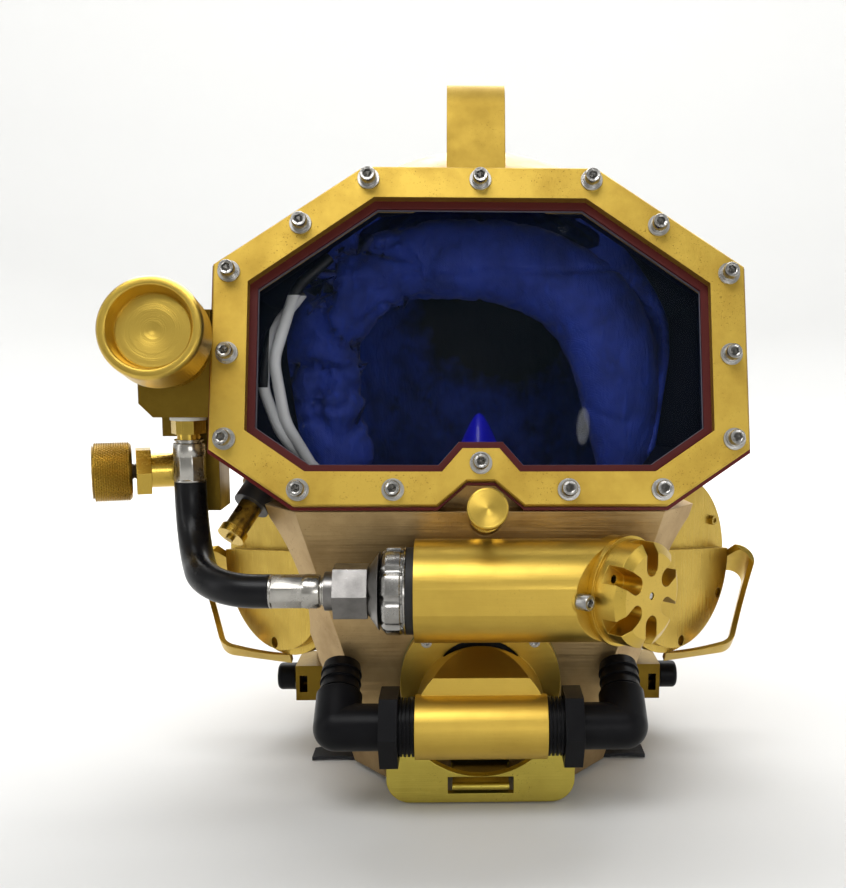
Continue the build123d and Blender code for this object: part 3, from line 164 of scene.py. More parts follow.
class Board:
    """One material and the nodes on it."""

    def __init__(self, name):
        self.material = bpy.data.materials.new(name)
        self.material.use_nodes = True
        self.tree = self.material.node_tree
        self.shader = self.tree.nodes["Principled BSDF"]

    def feed(self, socket, value):
        """Links a wire to a socket or sets its value, and leaves it alone for None."""
        if isinstance(value, Wire):
            self.tree.links.new(value.socket, socket)
        elif value is not None:
            socket.default_value = value

    def add(self, kind, settings, inputs, output=0):
        """A node with its settings and inputs, given back as the wire of one output."""
        node = self.tree.nodes.new(kind)
        for name, value in settings.items():
            setattr(node, name, value)
        for name, value in inputs.items():
            self.feed(node.inputs[name], value)
        return Wire(self, node.outputs[output])

    def vector(self, operation, a, b=None):
        """A sum on vectors, of which a dot product comes out as a value."""
        output = "Value" if operation == "DOT_PRODUCT" else "Vector"
        return self.add("ShaderNodeVectorMath", {"operation": operation}, {0: a, 1: b}, output)

    def scaled(self, vector, share):
        return self.add("ShaderNodeVectorMath", {"operation": "SCALE"}, {0: vector, "Scale": share})

    def place(self):
        """Object coordinates in millimetres."""
        return self.scaled(self.add("ShaderNodeTexCoord", {}, {}, "Object"), 1 / MM)

    def map(self, at, scale=(1, 1, 1), turn=(0, 0, 0)):
        inputs = {"Vector": at, "Rotation": turn, "Scale": scale}
        return self.add("ShaderNodeMapping", {"vector_type": "POINT"}, inputs)

    def local(self, at, place):
        """Coordinates of a place in millimetres: the turn is undone after the origin is moved to it."""
        moved = self.vector("SUBTRACT", at, (place.to_translation() / MM)[:])
        back = place.to_3x3().normalized().inverted().to_euler()
        return self.map(moved, turn=back[:])

    def parts(self, at):
        """The three coordinates, apart."""
        node = self.tree.nodes.new("ShaderNodeSeparateXYZ")
        self.feed(node.inputs[0], at)
        return [Wire(self, socket) for socket in node.outputs]

    def noise(self, at, scale, detail=2.0, rough=0.5, warp=0.0):
        inputs = {"Vector": at, "Scale": scale, "Detail": detail, "Roughness": rough, "Distortion": warp}
        return self.add("ShaderNodeTexNoise", {}, inputs)

    def mix(self, factor, a, b):
        """One colour laid over another."""
        node = self.tree.nodes.new("ShaderNodeMix")
        node.data_type = "RGBA"
        self.feed(node.inputs[0], factor)
        self.feed(node.inputs[6], a if isinstance(a, Wire) else (*a, 1))
        self.feed(node.inputs[7], b if isinstance(b, Wire) else (*b, 1))
        return Wire(self, node.outputs[2])

    def soft(self, radius):
        """The normal with its edges rounded."""
        return self.add("ShaderNodeBevel", {"samples": 4}, {"Radius": radius * MM})

    def wear(self, radius):
        """A mask that is 1 on the edges."""
        flat = self.add("ShaderNodeNewGeometry", {}, {}, "Normal")
        return (1 - self.vector("DOT_PRODUCT", self.soft(radius), flat)).span(0.02, 0.25)

    def bump(self, height, depth, normal=None):
        inputs = {"Height": height, "Distance": depth * MM, "Strength": 1.0, "Normal": normal}
        return self.add("ShaderNodeBump", {}, inputs)

    def brushed(self, normal, grain, strokes, amount):
        """The normal fanned out across the grain, so that highlights stretch as they do on brushed metal."""
        change = {"vector_type": "VECTOR", "convert_from": "OBJECT", "convert_to": "WORLD"}
        lay = self.add("ShaderNodeVectorTransform", change, {"Vector": grain})
        across = self.vector("CROSS_PRODUCT", normal, lay)
        return self.vector("ADD", normal, self.scaled(across, (strokes - 0.5) * amount))

    def finish(self, **sockets):
        """Sets or links the shader's sockets, named with underscores for spaces."""
        for name, value in sockets.items():
            if isinstance(value, tuple) and len(value) == 3:
                value = (*value, 1)
            self.feed(self.shader.inputs[name.replace("_", " ")], value)
        return self.material


def tinted(tint, *shares):
    """A colour scaled by one share, or by one for each channel, and held at 1."""
    return tuple(min(1, c * share) for c, share in zip(tint, shares if len(shares) == 3 else shares * 3))


def tool_marks(board, at, grain, rings):
    """Fine lines and the way they lie: round the axis of a place, or else along a grain."""
    if rings is None:
        scale = tuple(0.03 if abs(part) > 0.5 else 2.4 for part in grain)
        return board.noise(board.map(at, scale), 1.0, 4, 0.75), grain
    pitch = 22.0
    x, y, z = board.parts(board.local(at, rings))
    away = (x * x + y * y) ** 0.5
    where = board.add("ShaderNodeCombineXYZ", {}, {0: away * pitch, 1: z * pitch})
    spoke = board.vector("SUBTRACT", at, (rings.to_translation() / MM)[:])
    turned = board.vector("CROSS_PRODUCT", rings.to_3x3().normalized().col[2][:], spoke)
    return board.noise(where, 1.0, 3, 0.7), board.vector("NORMALIZE", turned)


def inner_wall_shade_mask(board, at):
    """A mask of the shell's inner wall, where it can be seen through the window: there the brass gets painted
    shade.
    """
    foot, half, top, back = 157, 124, 79, -14
    p, q, w = board.parts(board.local(at, face_place(0, 0)))
    height = board.parts(at)[2]
    side = board.add("ShaderNodeTexCoord", {}, {}, "Normal")
    outward = board.vector("DOT_PRODUCT", side, board.vector("SUBTRACT", at, (0, -20, 225)))
    return (outward < 0) * (height > foot) * (p.size() < half) * (q < top) * (w < back)


def brass(
    name, tint, grain=ACROSS, rough=0.3, tarnish=0.3, specks=0.0, soft=0.5, rings=None, fan=0.35, painted_inner_shade=False,
):
    """Machined or hand finished brass: fine strokes along a grain, tarnish in clouds, specks, worn edges, and
    on the shell painted shade on the inner wall seen through the window.
    """
    board = Board(name)
    at = board.place()
    clouds = board.noise(at, 0.035, 4, 0.6)
    fine = board.noise(at, 0.5, 3, 0.65)
    lines, lay = tool_marks(board, at, grain, rings)
    dull = clouds.span(0.42, 0.72) * tarnish
    pale = tinted(tint, 1.2, 1.22, 1.3)
    colour = board.mix(dull, tint, tinted(tint, 0.5, 0.42, 0.3))
    colour = board.mix(lines.span(0.4, 0.7) * 0.22, colour, pale)
    roughness = lines.span(0.3, 0.75, rough - 0.05, rough + 0.08) + dull * 0.18
    if specks:
        patch = board.noise(at, 0.028, 2, 0.5).span(0.45, 0.62)
        spot = board.noise(at, 0.9, 5, 0.75).span(0.6, 0.66) * patch * specks
        colour = board.mix(spot, colour, tinted(tint, 0.28, 0.2, 0.16))
        roughness = roughness + spot * 0.25
    colour = board.mix(board.wear(soft) * fine.span(0.35, 0.6) * 0.6, colour, pale)
    # Painted shade: the inner wall seen through the window is coloured near black.
    if painted_inner_shade:
        colour = board.mix(inner_wall_shade_mask(board, at), colour, (0.02, 0.018, 0.02))
    normal = board.brushed(board.soft(soft), lay, lines, fan)
    bump = board.bump(clouds * 0.8 + fine * 0.2, 0.08, normal)
    return board.finish(Base_Color=colour, Metallic=1.0, Roughness=roughness, Normal=bump)


def plated(name, tint, rough, wear, cast=0.0, soft=0.4):
    """Nickel or chrome plate, a little clouded, with a cast skin where it was left rough."""
    board = Board(name)
    at = board.place()
    clouds = board.noise(at, 0.12, 4, 0.6)
    fine = board.noise(at, 1.4, 3, 0.6)
    colour = board.mix(clouds.span(0.4, 0.7) * wear, tint, tinted(tint, 0.55))
    roughness = clouds.span(0.3, 0.75, rough, rough + 0.16) + fine.span(0.5, 0.8) * 0.06
    pits = board.add("ShaderNodeTexVoronoi", {"feature": "F1"}, {"Vector": at, "Scale": 1.6})
    bump = board.bump(fine * 0.3 + pits.span(0.0, 0.9) * cast, 0.05, board.soft(soft))
    return board.finish(Base_Color=colour, Metallic=1.0, Roughness=roughness, Normal=bump)


def mixed_screws(gold):
    """Small screws: steel at the exhaust in front, brass on the ear covers."""
    board = Board("small screws")
    at = board.place()
    depth = board.parts(at)[1]
    colour = board.mix(depth < -105, tinted(gold, 0.7), (0.45, 0.44, 0.42))
    roughness = board.noise(at, 0.8, 3, 0.6).span(0.3, 0.7, 0.22, 0.4)
    return board.finish(Base_Color=colour, Metallic=1.0, Roughness=roughness, Normal=board.soft(0.3))


def wire_jacket():
    """White cable jackets, with black sleeves towards the top."""
    board = Board("wire jacket")
    at = board.place()
    x, y, z = board.parts(at)
    sleeve = (z > 210) * (x < (z - 240).both(0) * 0.4 - 111)
    clouds = board.noise(at, 0.08, 3, 0.6)
    white = board.mix(clouds.span(0.4, 0.7) * 0.3, (0.8, 0.81, 0.82), (0.55, 0.55, 0.54))
    colour = board.mix(sleeve.both(z > 258), white, JET)
    return board.finish(Base_Color=colour, Roughness=0.4, Normal=board.soft(0.3))


def moulded(name, tint, rough, grain, dust, soft=0.5, coat=0.0, shine=0.3):
    """Moulded plastic or rubber with a fine skin, dust in clouds and scuffed edges."""
    board = Board(name)
    at = board.place()
    clouds = board.noise(at, 0.06, 4, 0.6)
    skin = board.noise(at, 2.2, 3, 0.6)
    pale = tuple(min(1, c * 1.4 + 0.02) for c in tint)
    colour = board.mix(clouds.span(0.45, 0.75) * dust, tint, pale)
    colour = board.mix(board.wear(soft) * 0.35, colour, pale)
    roughness = clouds.span(0.3, 0.8, rough - 0.06, rough + 0.1) + skin.span(0.4, 0.7) * 0.06
    bump = board.bump(skin * grain, 0.06, board.soft(soft))
    return board.finish(
        Base_Color=colour, Roughness=roughness, Normal=bump, Coat_Weight=coat, Specular_IOR_Level=shine
    )


def cloth(name, tint, fold_tint, sheen, dark=None):
    """Woven shell fabric of a padded liner, with a fine weave, puckers lightened on top as painted highlight,
    sheen, and a near black patch at the back as painted shade.
    """
    board = Board(name)
    at = board.place()
    x, y, z = board.parts(at)
    weave = 5.0
    over = (x * weave + y * weave).wave() * (z * weave).wave()
    clouds = board.noise(at, 0.05, 4, 0.6)
    pucker = board.noise(board.map(at, (0.5, 0.5, 0.16)), 0.5, 4, 0.6, 0.6)
    colour = board.mix(clouds.span(0.35, 0.7), tint, fold_tint)
    # Painted highlight: the cloth is lightened where the pucker bump stands highest.
    colour = board.mix(pucker.span(0.55, 0.75) * 0.4, colour, tinted(tint, 1.7))
    # Painted shade: a near black patch deep at the back of the liner.
    if dark is not None:
        side, height, reach = dark
        away = (((x - side) ** 2 + ((z - height) * 1.25) ** 2) ** 0.5) / reach
        patch = (clouds * 0.5 - away + 1.0).span(0.0, 0.35) * (y > 20)
        colour = board.mix(patch, colour, (0.001, 0.001, 0.002))
    bump = board.bump(over * 0.08 + pucker * 1.6, 0.9)
    roughness = clouds.span(0.3, 0.7, 0.62, 0.8)
    return board.finish(
        Base_Color=colour, Roughness=roughness, Normal=bump, Sheen_Weight=sheen, Sheen_Roughness=0.4
    )


def window_pane():
    """Clear plastic pane with fine scratches and one worn oval; its near black, partly opaque base lays painted
    shade over the inside seen through it, heavier towards +x.
    """
    board = Board("window pane")
    at = board.place()
    x, y, z = board.parts(at)
    rub = board.noise(board.map(at, (0.35, 0.02, 3.0), (0, 0.5, 0)), 1.0, 3, 0.7)
    cross = board.noise(board.map(at, (3.0, 0.02, 0.3), (0, 0.35, 0)), 1.0, 3, 0.7)
    where = board.noise(at, 0.018, 2, 0.5).span(0.42, 0.65)
    marks = rub.span(0.68, 0.74).both(cross.span(0.7, 0.76)) * where
    # Painted shade: more of the dark base towards +x.
    painted_shade_film = board.noise(at, 0.03, 3, 0.6).span(0.4, 0.75) * x.span(-20, 90, 0.0, 0.05)
    oval_x, oval_z, oval_width, oval_height = 52, 192, 3.2, 9.7
    rise = z - oval_z
    oval = (((x - oval_x - rise * 0.08) / oval_width) ** 2 + (rise / oval_height) ** 2) ** 0.5
    worn = (1 - oval).span(0.0, 0.12) * 0.12
    # The near black base colour is painted shade over the inside seen through the pane.
    colour = board.mix(marks.both(worn * 3), (0.006, 0.012, 0.02), (0.5, 0.52, 0.55))
    material = board.finish(
        Base_Color=colour, Roughness=0.06, Alpha=0.12 + marks * 0.4 + painted_shade_film + worn, IOR=1.49,
        Normal=board.soft(0.5), Specular_IOR_Level=0.3,
    )
    material.surface_render_method = "BLENDED"
    return material


def terminal_skin(gold):
    """The comms terminal: a black nylon collar behind, tarnished brass in front."""
    board = Board("terminal brass and nylon")
    at = board.place()
    metal = board.parts(board.local(at, COMMS))[2] > 4.2
    clouds = board.noise(at, 0.3, 4, 0.6)
    brown = board.mix(clouds.span(0.4, 0.7), tinted(gold, 0.75), (0.12, 0.07, 0.025))
    colour = board.mix(metal, (0.035, 0.035, 0.038), brown)
    bump = board.bump(clouds, 0.1, board.soft(0.4))
    return board.finish(
        Base_Color=colour, Metallic=metal, Roughness=clouds.span(0.3, 0.7, 0.3, 0.46), Normal=bump
    )


# Shapes

def reach(vert):
    """How far a vertex lies from the local Z axis."""
    return math.hypot(vert.co.x, vert.co.y)


def bearing(vert):
    """The angle of a vertex round the local Z axis."""
    return math.atan2(vert.co.y, vert.co.x)


def widen(vert, share):
    """Moves a vertex straight out from the local Z axis, or in."""
    vert.co.x *= share
    vert.co.y *= share


def held(value, low=0.0):
    """A value kept between a lower bound and 1."""
    return min(1.0, max(low, value))


def moved(bm, place):
    bmesh.ops.transform(bm, matrix=place, verts=bm.verts)
    return bm


def lathe(profile, steps, place=None):
    """A profile of (radius, height) pairs turned round the local Z axis, in millimetres."""
    bm = bmesh.new()
    verts = [bm.verts.new((r, 0, h)) for r, h in profile]
    edges = [bm.edges.new(pair) for pair in zip(verts, verts[1:])]
    bmesh.ops.spin(
        bm, geom=verts + edges, cent=(0, 0, 0), axis=(0, 0, 1), dvec=(0, 0, 0),
        angle=math.tau, steps=steps, use_merge=True, use_normal_flip=False, use_duplicate=False,
    )
    bmesh.ops.remove_doubles(bm, verts=bm.verts, dist=0.001)
    bmesh.ops.recalc_face_normals(bm, faces=bm.faces)
    return bm if place is None else moved(bm, place)


def prism(sides, radius, low, high, turn, bevel):
    """A bar with flat sides along the local Z axis, its edges eased."""
    bm = bmesh.new()
    bmesh.ops.create_cone(
        bm, cap_ends=True, cap_tris=False, segments=sides, radius1=radius, radius2=radius, depth=high - low
    )
    moved(bm, Matrix.Translation((0, 0, (low + high) / 2)) @ Matrix.Rotation(turn, 4, "Z"))
    bmesh.ops.bevel(
        bm, geom=list(bm.edges), offset=bevel, offset_type="OFFSET", segments=2,
        profile=0.5, material=-1, affect="EDGES", clamp_overlap=True,
    )
    return bm


def ring(outline, half, top, inset, width, low, height):
    """A flat ring on the plane of the port that follows one of its outlines, set in from it."""
    corners = [(p * half, q * top) for p, q in outline]
    corners += [(-p, q) for p, q in reversed(corners)]
    bm = bmesh.new()
    face = bm.faces.new([bm.verts.new((p, q, 0)) for p, q in corners])
    bmesh.ops.inset_region(bm, faces=[face], thickness=inset, use_even_offset=True, use_boundary=True)
    outer = [f for f in bm.faces if f is not face]
    bmesh.ops.inset_region(bm, faces=[face], thickness=width, use_even_offset=True, use_boundary=True)
    rim = [f for f in bm.faces if f is not face and f not in outer]
    bmesh.ops.delete(bm, geom=outer + [face], context="FACES")
    lifted = bmesh.ops.extrude_face_region(bm, geom=rim)["geom"]
    raised = [part for part in lifted if isinstance(part, bmesh.types.BMVert)]
    bmesh.ops.translate(bm, verts=raised, vec=(0, 0, height))
    bmesh.ops.recalc_face_normals(bm, faces=bm.faces)
    return moved(bm, face_place(0, 0, low))


def join(shapes):
    """Several shapes in one mesh, each already in its place."""
    whole = bmesh.new()
    for bm in shapes:
        mesh = bpy.data.meshes.new("join")
        bm.to_mesh(mesh)
        bm.free()
        whole.from_mesh(mesh)
        bpy.data.meshes.remove(mesh)
    return whole


def piece(name, bm, material, body, nodes, angle):
    """Stores a shape as an object that rides on a body and stands for its nodes."""
    mesh = bpy.data.meshes.new(name)
    bm.to_mesh(mesh)
    bm.free()
    if angle:
        mesh.shade_smooth()
        mesh.set_sharp_from_angle(angle=math.radians(angle))
    thing = bpy.data.objects.new(name, mesh)
    bpy.context.scene.collection.objects.link(thing)
    mesh.materials.append(material)
    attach(thing, body)
    if nodes:
        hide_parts(*nodes)
    return thing


def dress(material, *nodes):
    """Gives carried over nodes their finish."""
    for node in nodes:
        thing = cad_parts[node]
        for slot in thing.material_slots:
            slot.material = material
        if not thing.material_slots:
            thing.data.materials.append(material)


# Settings

class HelmetFinish(bpy.types.PropertyGroup):
    gold: bpy.props.FloatVectorProperty(
        name="Brass", description="Colour of the machined brass", subtype="COLOR", default=GOLD, min=0, max=1
    )
    bronze: bpy.props.FloatVectorProperty(
        name="Bronze", description="Colour of the cast shell", subtype="COLOR", default=BRONZE, min=0, max=1
    )
    cloth: bpy.props.FloatVectorProperty(
        name="Liner", description="Colour of the liner fabric", subtype="COLOR", default=LINER_BLUE,
        min=0, max=1,
    )


class HelmetSizes(bpy.types.PropertyGroup):
    rim_knurls: bpy.props.IntProperty(
        name="Knob knurls", description="Grooves round the free flow knob", default=120, min=24, max=240
    )
    pad_puff: bpy.props.FloatProperty(
        name="Liner puff", description="How far the quilting stands out", subtype="DISTANCE", default=0.004,
        min=0, max=0.02,
    )


class HelmetStage(bpy.types.PropertyGroup):
    floor: bpy.props.FloatVectorProperty(
        name="Floor", description="Colour of the floor", subtype="COLOR", default=PALE_FLOOR, min=0, max=1
    )
    key: bpy.props.FloatProperty(
        name="Key light", description="Power of the large lamp", subtype="POWER", default=10.5, min=0, max=200
    )
    sky: bpy.props.FloatProperty(
        name="Surroundings", description="Brightness of the room", default=0.1, min=0, max=3
    )


def stage_light(name, at, aim, size, power):
    """A rectangular lamp, its place and aim in metres."""
    data = bpy.data.lights.new(name, "AREA")
    data.shape = "RECTANGLE"
    data.size, data.size_y = size
    data.energy = power
    lamp = bpy.data.objects.new(name, data)
    lamp.location = at
    lamp.rotation_euler = (Vector(at) - Vector(aim)).to_track_quat("Z", "Y").to_euler()
    bpy.context.scene.collection.objects.link(lamp)


class HELMET_OT_stage(bpy.types.Operator):
    """Adds the floor, the lamps and the camera"""

    bl_idname = "helmet.stage"
    bl_label = "Stage"

    def execute(self, context):
        settings = context.scene.helmet_stage
        cove = [(0, 0), (1900, 0), (2300, 60), (2600, 220), (2820, 480), (2940, 800), (2980, 1200)]
        cove += [(2980, 4200)]
        bm = lathe(cove, 96, Matrix.Scale(MM, 4))
        mesh = bpy.data.meshes.new("floor")
        bm.to_mesh(mesh)
        bm.free()
        mesh.shade_smooth()
        floor = bpy.data.objects.new("floor", mesh)
        context.scene.collection.objects.link(floor)
        mesh.materials.append(Board("floor").finish(Base_Color=tuple(settings.floor), Roughness=0.8))

        world = bpy.data.worlds.new("room")
        world.use_nodes = True
        background = world.node_tree.nodes["Background"]
        background.inputs["Color"].default_value = (0.95, 0.97, 1.0, 1)
        background.inputs["Strength"].default_value = settings.sky
        context.scene.world = world
        context.scene.view_settings.view_transform = "Standard"
        context.scene.view_settings.look = "None"

        aim = (0, -0.1, 0.2)
        power = settings.key
        stage_light("key", (-0.3, -0.8, 1.3), aim, (0.9, 0.55), power)
        stage_light("left strip", (-1.25, -0.6, 0.5), aim, (0.22, 1.0), power * 0.2)
        stage_light("right strip", (1.3, -0.5, 0.55), aim, (0.22, 1.0), power * 0.22)
        stage_light("front", (0.3, -1.35, 0.33), aim, (0.5, 0.3), power * 0.22)
        stage_light("back", (0.1, 1.3, 1.35), (0, 0.1, 0), (2.4, 0.8), power * 3.2)
        stage_light("backdrop", (0, 0.7, 2.2), (0, 2.9, 0.7), (2.4, 1.2), power * 7)

        # The lens and its shift, in pixels of a picture of 846 by 888
        focal, middle_x, middle_y, width, height = 1120, 500, 480, 846, 888
        sensor = 36
        data = bpy.data.cameras.new("camera")
        data.lens = sensor * focal / height
        data.sensor_width = sensor
        data.shift_x = (width / 2 - middle_x) / height
        data.shift_y = (middle_y - height / 2) / height
        data.clip_start = 0.02
        camera = bpy.data.objects.new("camera", data)
        right = Vector((0.9995, -0.0303, 0.0035))
        down = Vector((-0.0007, -0.137, -0.9906))
        out = Vector((0.0305, 0.9901, -0.137))
        turn = Matrix((right, -down, -out)).transposed().to_4x4()
        camera.matrix_world = Matrix.Translation((-0.0075, -0.679, 0.2427)) @ turn
        context.scene.collection.objects.link(camera)
        context.scene.camera = camera
        return {"FINISHED"}


# Pieces that stay as they are made

class HELMET_OT_castings(bpy.types.Operator):
    """Finishes the shell, the port frame, the covers, the handles, the block, the plates and the cylinders"""

    bl_idname = "helmet.castings"
    bl_label = "Castings and plates"

    def execute(self, context):
        look = context.scene.helmet_finish
        gold = tuple(look.gold)
        bronze = tuple(look.bronze)
        # Painted shade: the handle's brass is darkened a little against the strong highlight on its top.
        handle_shade_gold = tinted(gold, 0.82)
        cover_gold = tinted(gold, 0.9)
        # Painted shade: brass darkened to about a third for the block and latch brackets, which lie in shadow
        # under the knob.
        block_shade_gold = tinted(gold, 0.34, 0.31, 0.22)
        greenish = tinted(gold, 0.92, 1.08, 1.1)
        # The shell's brass has painted shade on its inner wall behind the window.
        shell = brass("shell bronze", bronze, ACROSS, 0.42, 0.6, 0.7, soft=1.0, fan=0.5, painted_inner_shade=True)
        dress(shell, "helmet_shell")
        dress(brass("frame brass", gold, UPRIGHT, 0.48, 0.5, 1.0, fan=0.3), "face_frame")
        dress(brass("handle brass", handle_shade_gold, UPRIGHT, 0.55, 0.5, 0.5, soft=0.7, fan=0.3), "top_handle")
        dress(brass("loop brass", gold, ACROSS, 0.3, 0.45, 0.3, soft=0.6), "side_handles")
        dress(brass("cover brass", cover_gold, UPRIGHT, 0.27, 0.4, 0.4, fan=0.4), "ear_covers")
        block = brass("block brass", block_shade_gold, UPRIGHT, 0.36, 0.7, 0.6, soft=0.6, fan=0.3)
        dress(block, "side_block", "latch_brackets")
        dress(brass("plate brass", greenish, ACROSS, 0.32, 0.4, 0.9), "chin_plate", "neck_ring")
        turned = brass("turned brass", gold, UPRIGHT, 0.26, 0.3, 0.2, soft=0.4)
        dress(turned, "free_flow_bonnet", "nose_gland", "regulator_nut", "comms_thumb_nut", "demand_poppet")
        dress(brass("regulator brass", gold, ACROSS, 0.36, 0.25, 0.3, soft=0.4, fan=0.2), "regulator_body")
        cover = brass("regulator cover brass", gold, ACROSS, 0.3, 0.2, 0.5, rings=CAP, fan=0.6)
        dress(cover, "regulator_cover")
        dress(brass("exhaust brass", gold, ACROSS, 0.42, 0.25, 0.25, soft=0.6, fan=0.25), "exhaust_body")
        dress(mixed_screws(gold), "small_screws")
        return {"FINISHED"}


class HELMET_OT_seals(bpy.types.Operator):
    """Finishes the gaskets, the hose, the rubber and nylon pieces, the wires and the window pane"""

    bl_idname = "helmet.seals"
    bl_label = "Seals, hose and window"

    def execute(self, context):
        dress(moulded("red gasket", (0.07, 0.002, 0.002), 0.55, 0.6, 0.05), "port_gasket")
        green = moulded("green gasket", (0.03, 0.20, 0.11), 0.6, 0.5, 0.3)
        dress(green, "ear_gaskets", "exhaust_gasket")
        black = moulded("black rubber", (0.014, 0.014, 0.015), 0.5, 0.6, 0.3)
        dress(black, "inlet_seal_ring", "diaphragm", "nose_packing", "exhaust_valve")
        dress(moulded("hose rubber", JET, 0.28, 0.25, 0.08, shine=0.2), "supply_hose")
        white = moulded("white nylon", (0.72, 0.71, 0.66), 0.4, 0.3, 0.0)
        dress(white, "hose_washer", "free_flow_poppet", "emergency_poppet", "check_valve_poppet")
        dress(wire_jacket(), "comms_wires")
        nylon = moulded("black nylon", JET, 0.36, 0.35, 0.12, soft=0.6, shine=0.1)
        dress(nylon, "elbows", "elbow_nuts", "latch_pin_left", "latch_pin_right")
        grey = moulded("grey nylon", (0.07, 0.07, 0.075), 0.45, 0.5, 0.3)
        dress(grey, "earphones_and_microphone")
        dress(window_pane(), "face_port")
        return {"FINISHED"}


class HELMET_OT_plated(bpy.types.Operator):
    """Finishes the plated fittings, the steel, the hexagons beside them and the comms terminal"""

    bl_idname = "helmet.plated"
    bl_label = "Fittings"

    def execute(self, context):
        gold = tuple(context.scene.helmet_finish.gold)
        steel = plated("bright steel", (0.5, 0.49, 0.47), 0.24, 0.5)
        dress(steel, "port_washers", "purge_pin", "nose_shaft", "demand_lever", "free_flow_stem")
        nickel = plated("cast nickel", (0.24, 0.23, 0.22), 0.26, 0.6, cast=0.4)
        dress(nickel, "hose_swivel_nut", "supply_inlet")
        hexed = brass("bonnet brass", gold, UPRIGHT, 0.22, 0.3, 0.2, soft=0.4)
        dress(hexed, "emergency_bonnet", "hose_fitting")
        dress(terminal_skin(gold), "comms_terminal")
        return {"FINISHED"}


# Pieces that replace a plain one

def push_columns(bm, place, test, count, depth):
    """Cuts straight knurls: every other column of vertices of a rim is pushed in."""
    back = place.inverted()
    for vert in bm.verts:
        at = back @ vert.co
        if test(math.hypot(at.x, at.y), at.z):
            step = round(math.atan2(at.y, at.x) / math.tau * count * 2)
            if step % 2:
                away = Vector((at.x, at.y, 0)).normalized()
                vert.co = place @ (at - away * depth)


def socket_screw(place, radius, height, shank, grip):
    """A cap screw with a hexagon socket, its rim eased."""
    flats, depth, half_side = 3.9, 2.6, math.radians(30)
    corner = flats / 2 / math.cos(half_side)
    profile = [
        (0, -grip), (shank, -grip), (shank, 0), (radius, 0), (radius, height * 0.86), (radius * 0.9, height),
        (corner * 1.12, height), (corner, height - 0.25), (corner, height - depth), (0, height - depth - 1.6),
    ]
    bm = lathe(profile, 24)
    for vert in bm.verts:
        if abs(reach(vert) - corner) < 0.05 and vert.co.z > 0:
            turn = bearing(vert) % (half_side * 2) - half_side
            widen(vert, math.cos(half_side) / math.cos(turn))
    return moved(bm, place)


def port_screw_places():
    """Where the screws stand on the port frame, in pairs from the top down and then in the middle."""
    pairs = [(side * p * FRAME_HALF, q * FRAME_TOP) for p, q in SIDE_SCREWS for side in (-1, 1)]
    return pairs + [(0, q * FRAME_TOP) for q in MIDDLE_SCREWS]


class HELMET_OT_screws(bpy.types.Operator):
    """Builds the cap screws of the port frame and of the regulator cover"""

    bl_idname = "helmet.screws"
    bl_label = "Cap screws"

    def execute(self, context):
        steel = plated("screw steel", (0.42, 0.41, 0.39), 0.2, 0.5, soft=0.25)
        washers = 3.0
        heads = []
        for k, (p, q) in enumerate(port_screw_places()):
            place = face_place(p, q, washers) @ Matrix.Rotation(k * 0.7, 4, "Z")
            heads.append(socket_screw(place, 3.95, 5.0, 2.4, 11.0))
        piece("cap_screws", join(heads), steel, "helmet", ["port_screws"], 30)
        lobe = 31.5
        pair = [
            socket_screw(CAP @ Matrix.Translation((side * lobe, 0, 0)), 3.9, 6.0, 2.0, 8.0) for side in (-1, 1)
        ]
        piece("cover_cap_screws", join(pair), steel, "helmet", ["cover_screws"], 30)
        return {"FINISHED"}


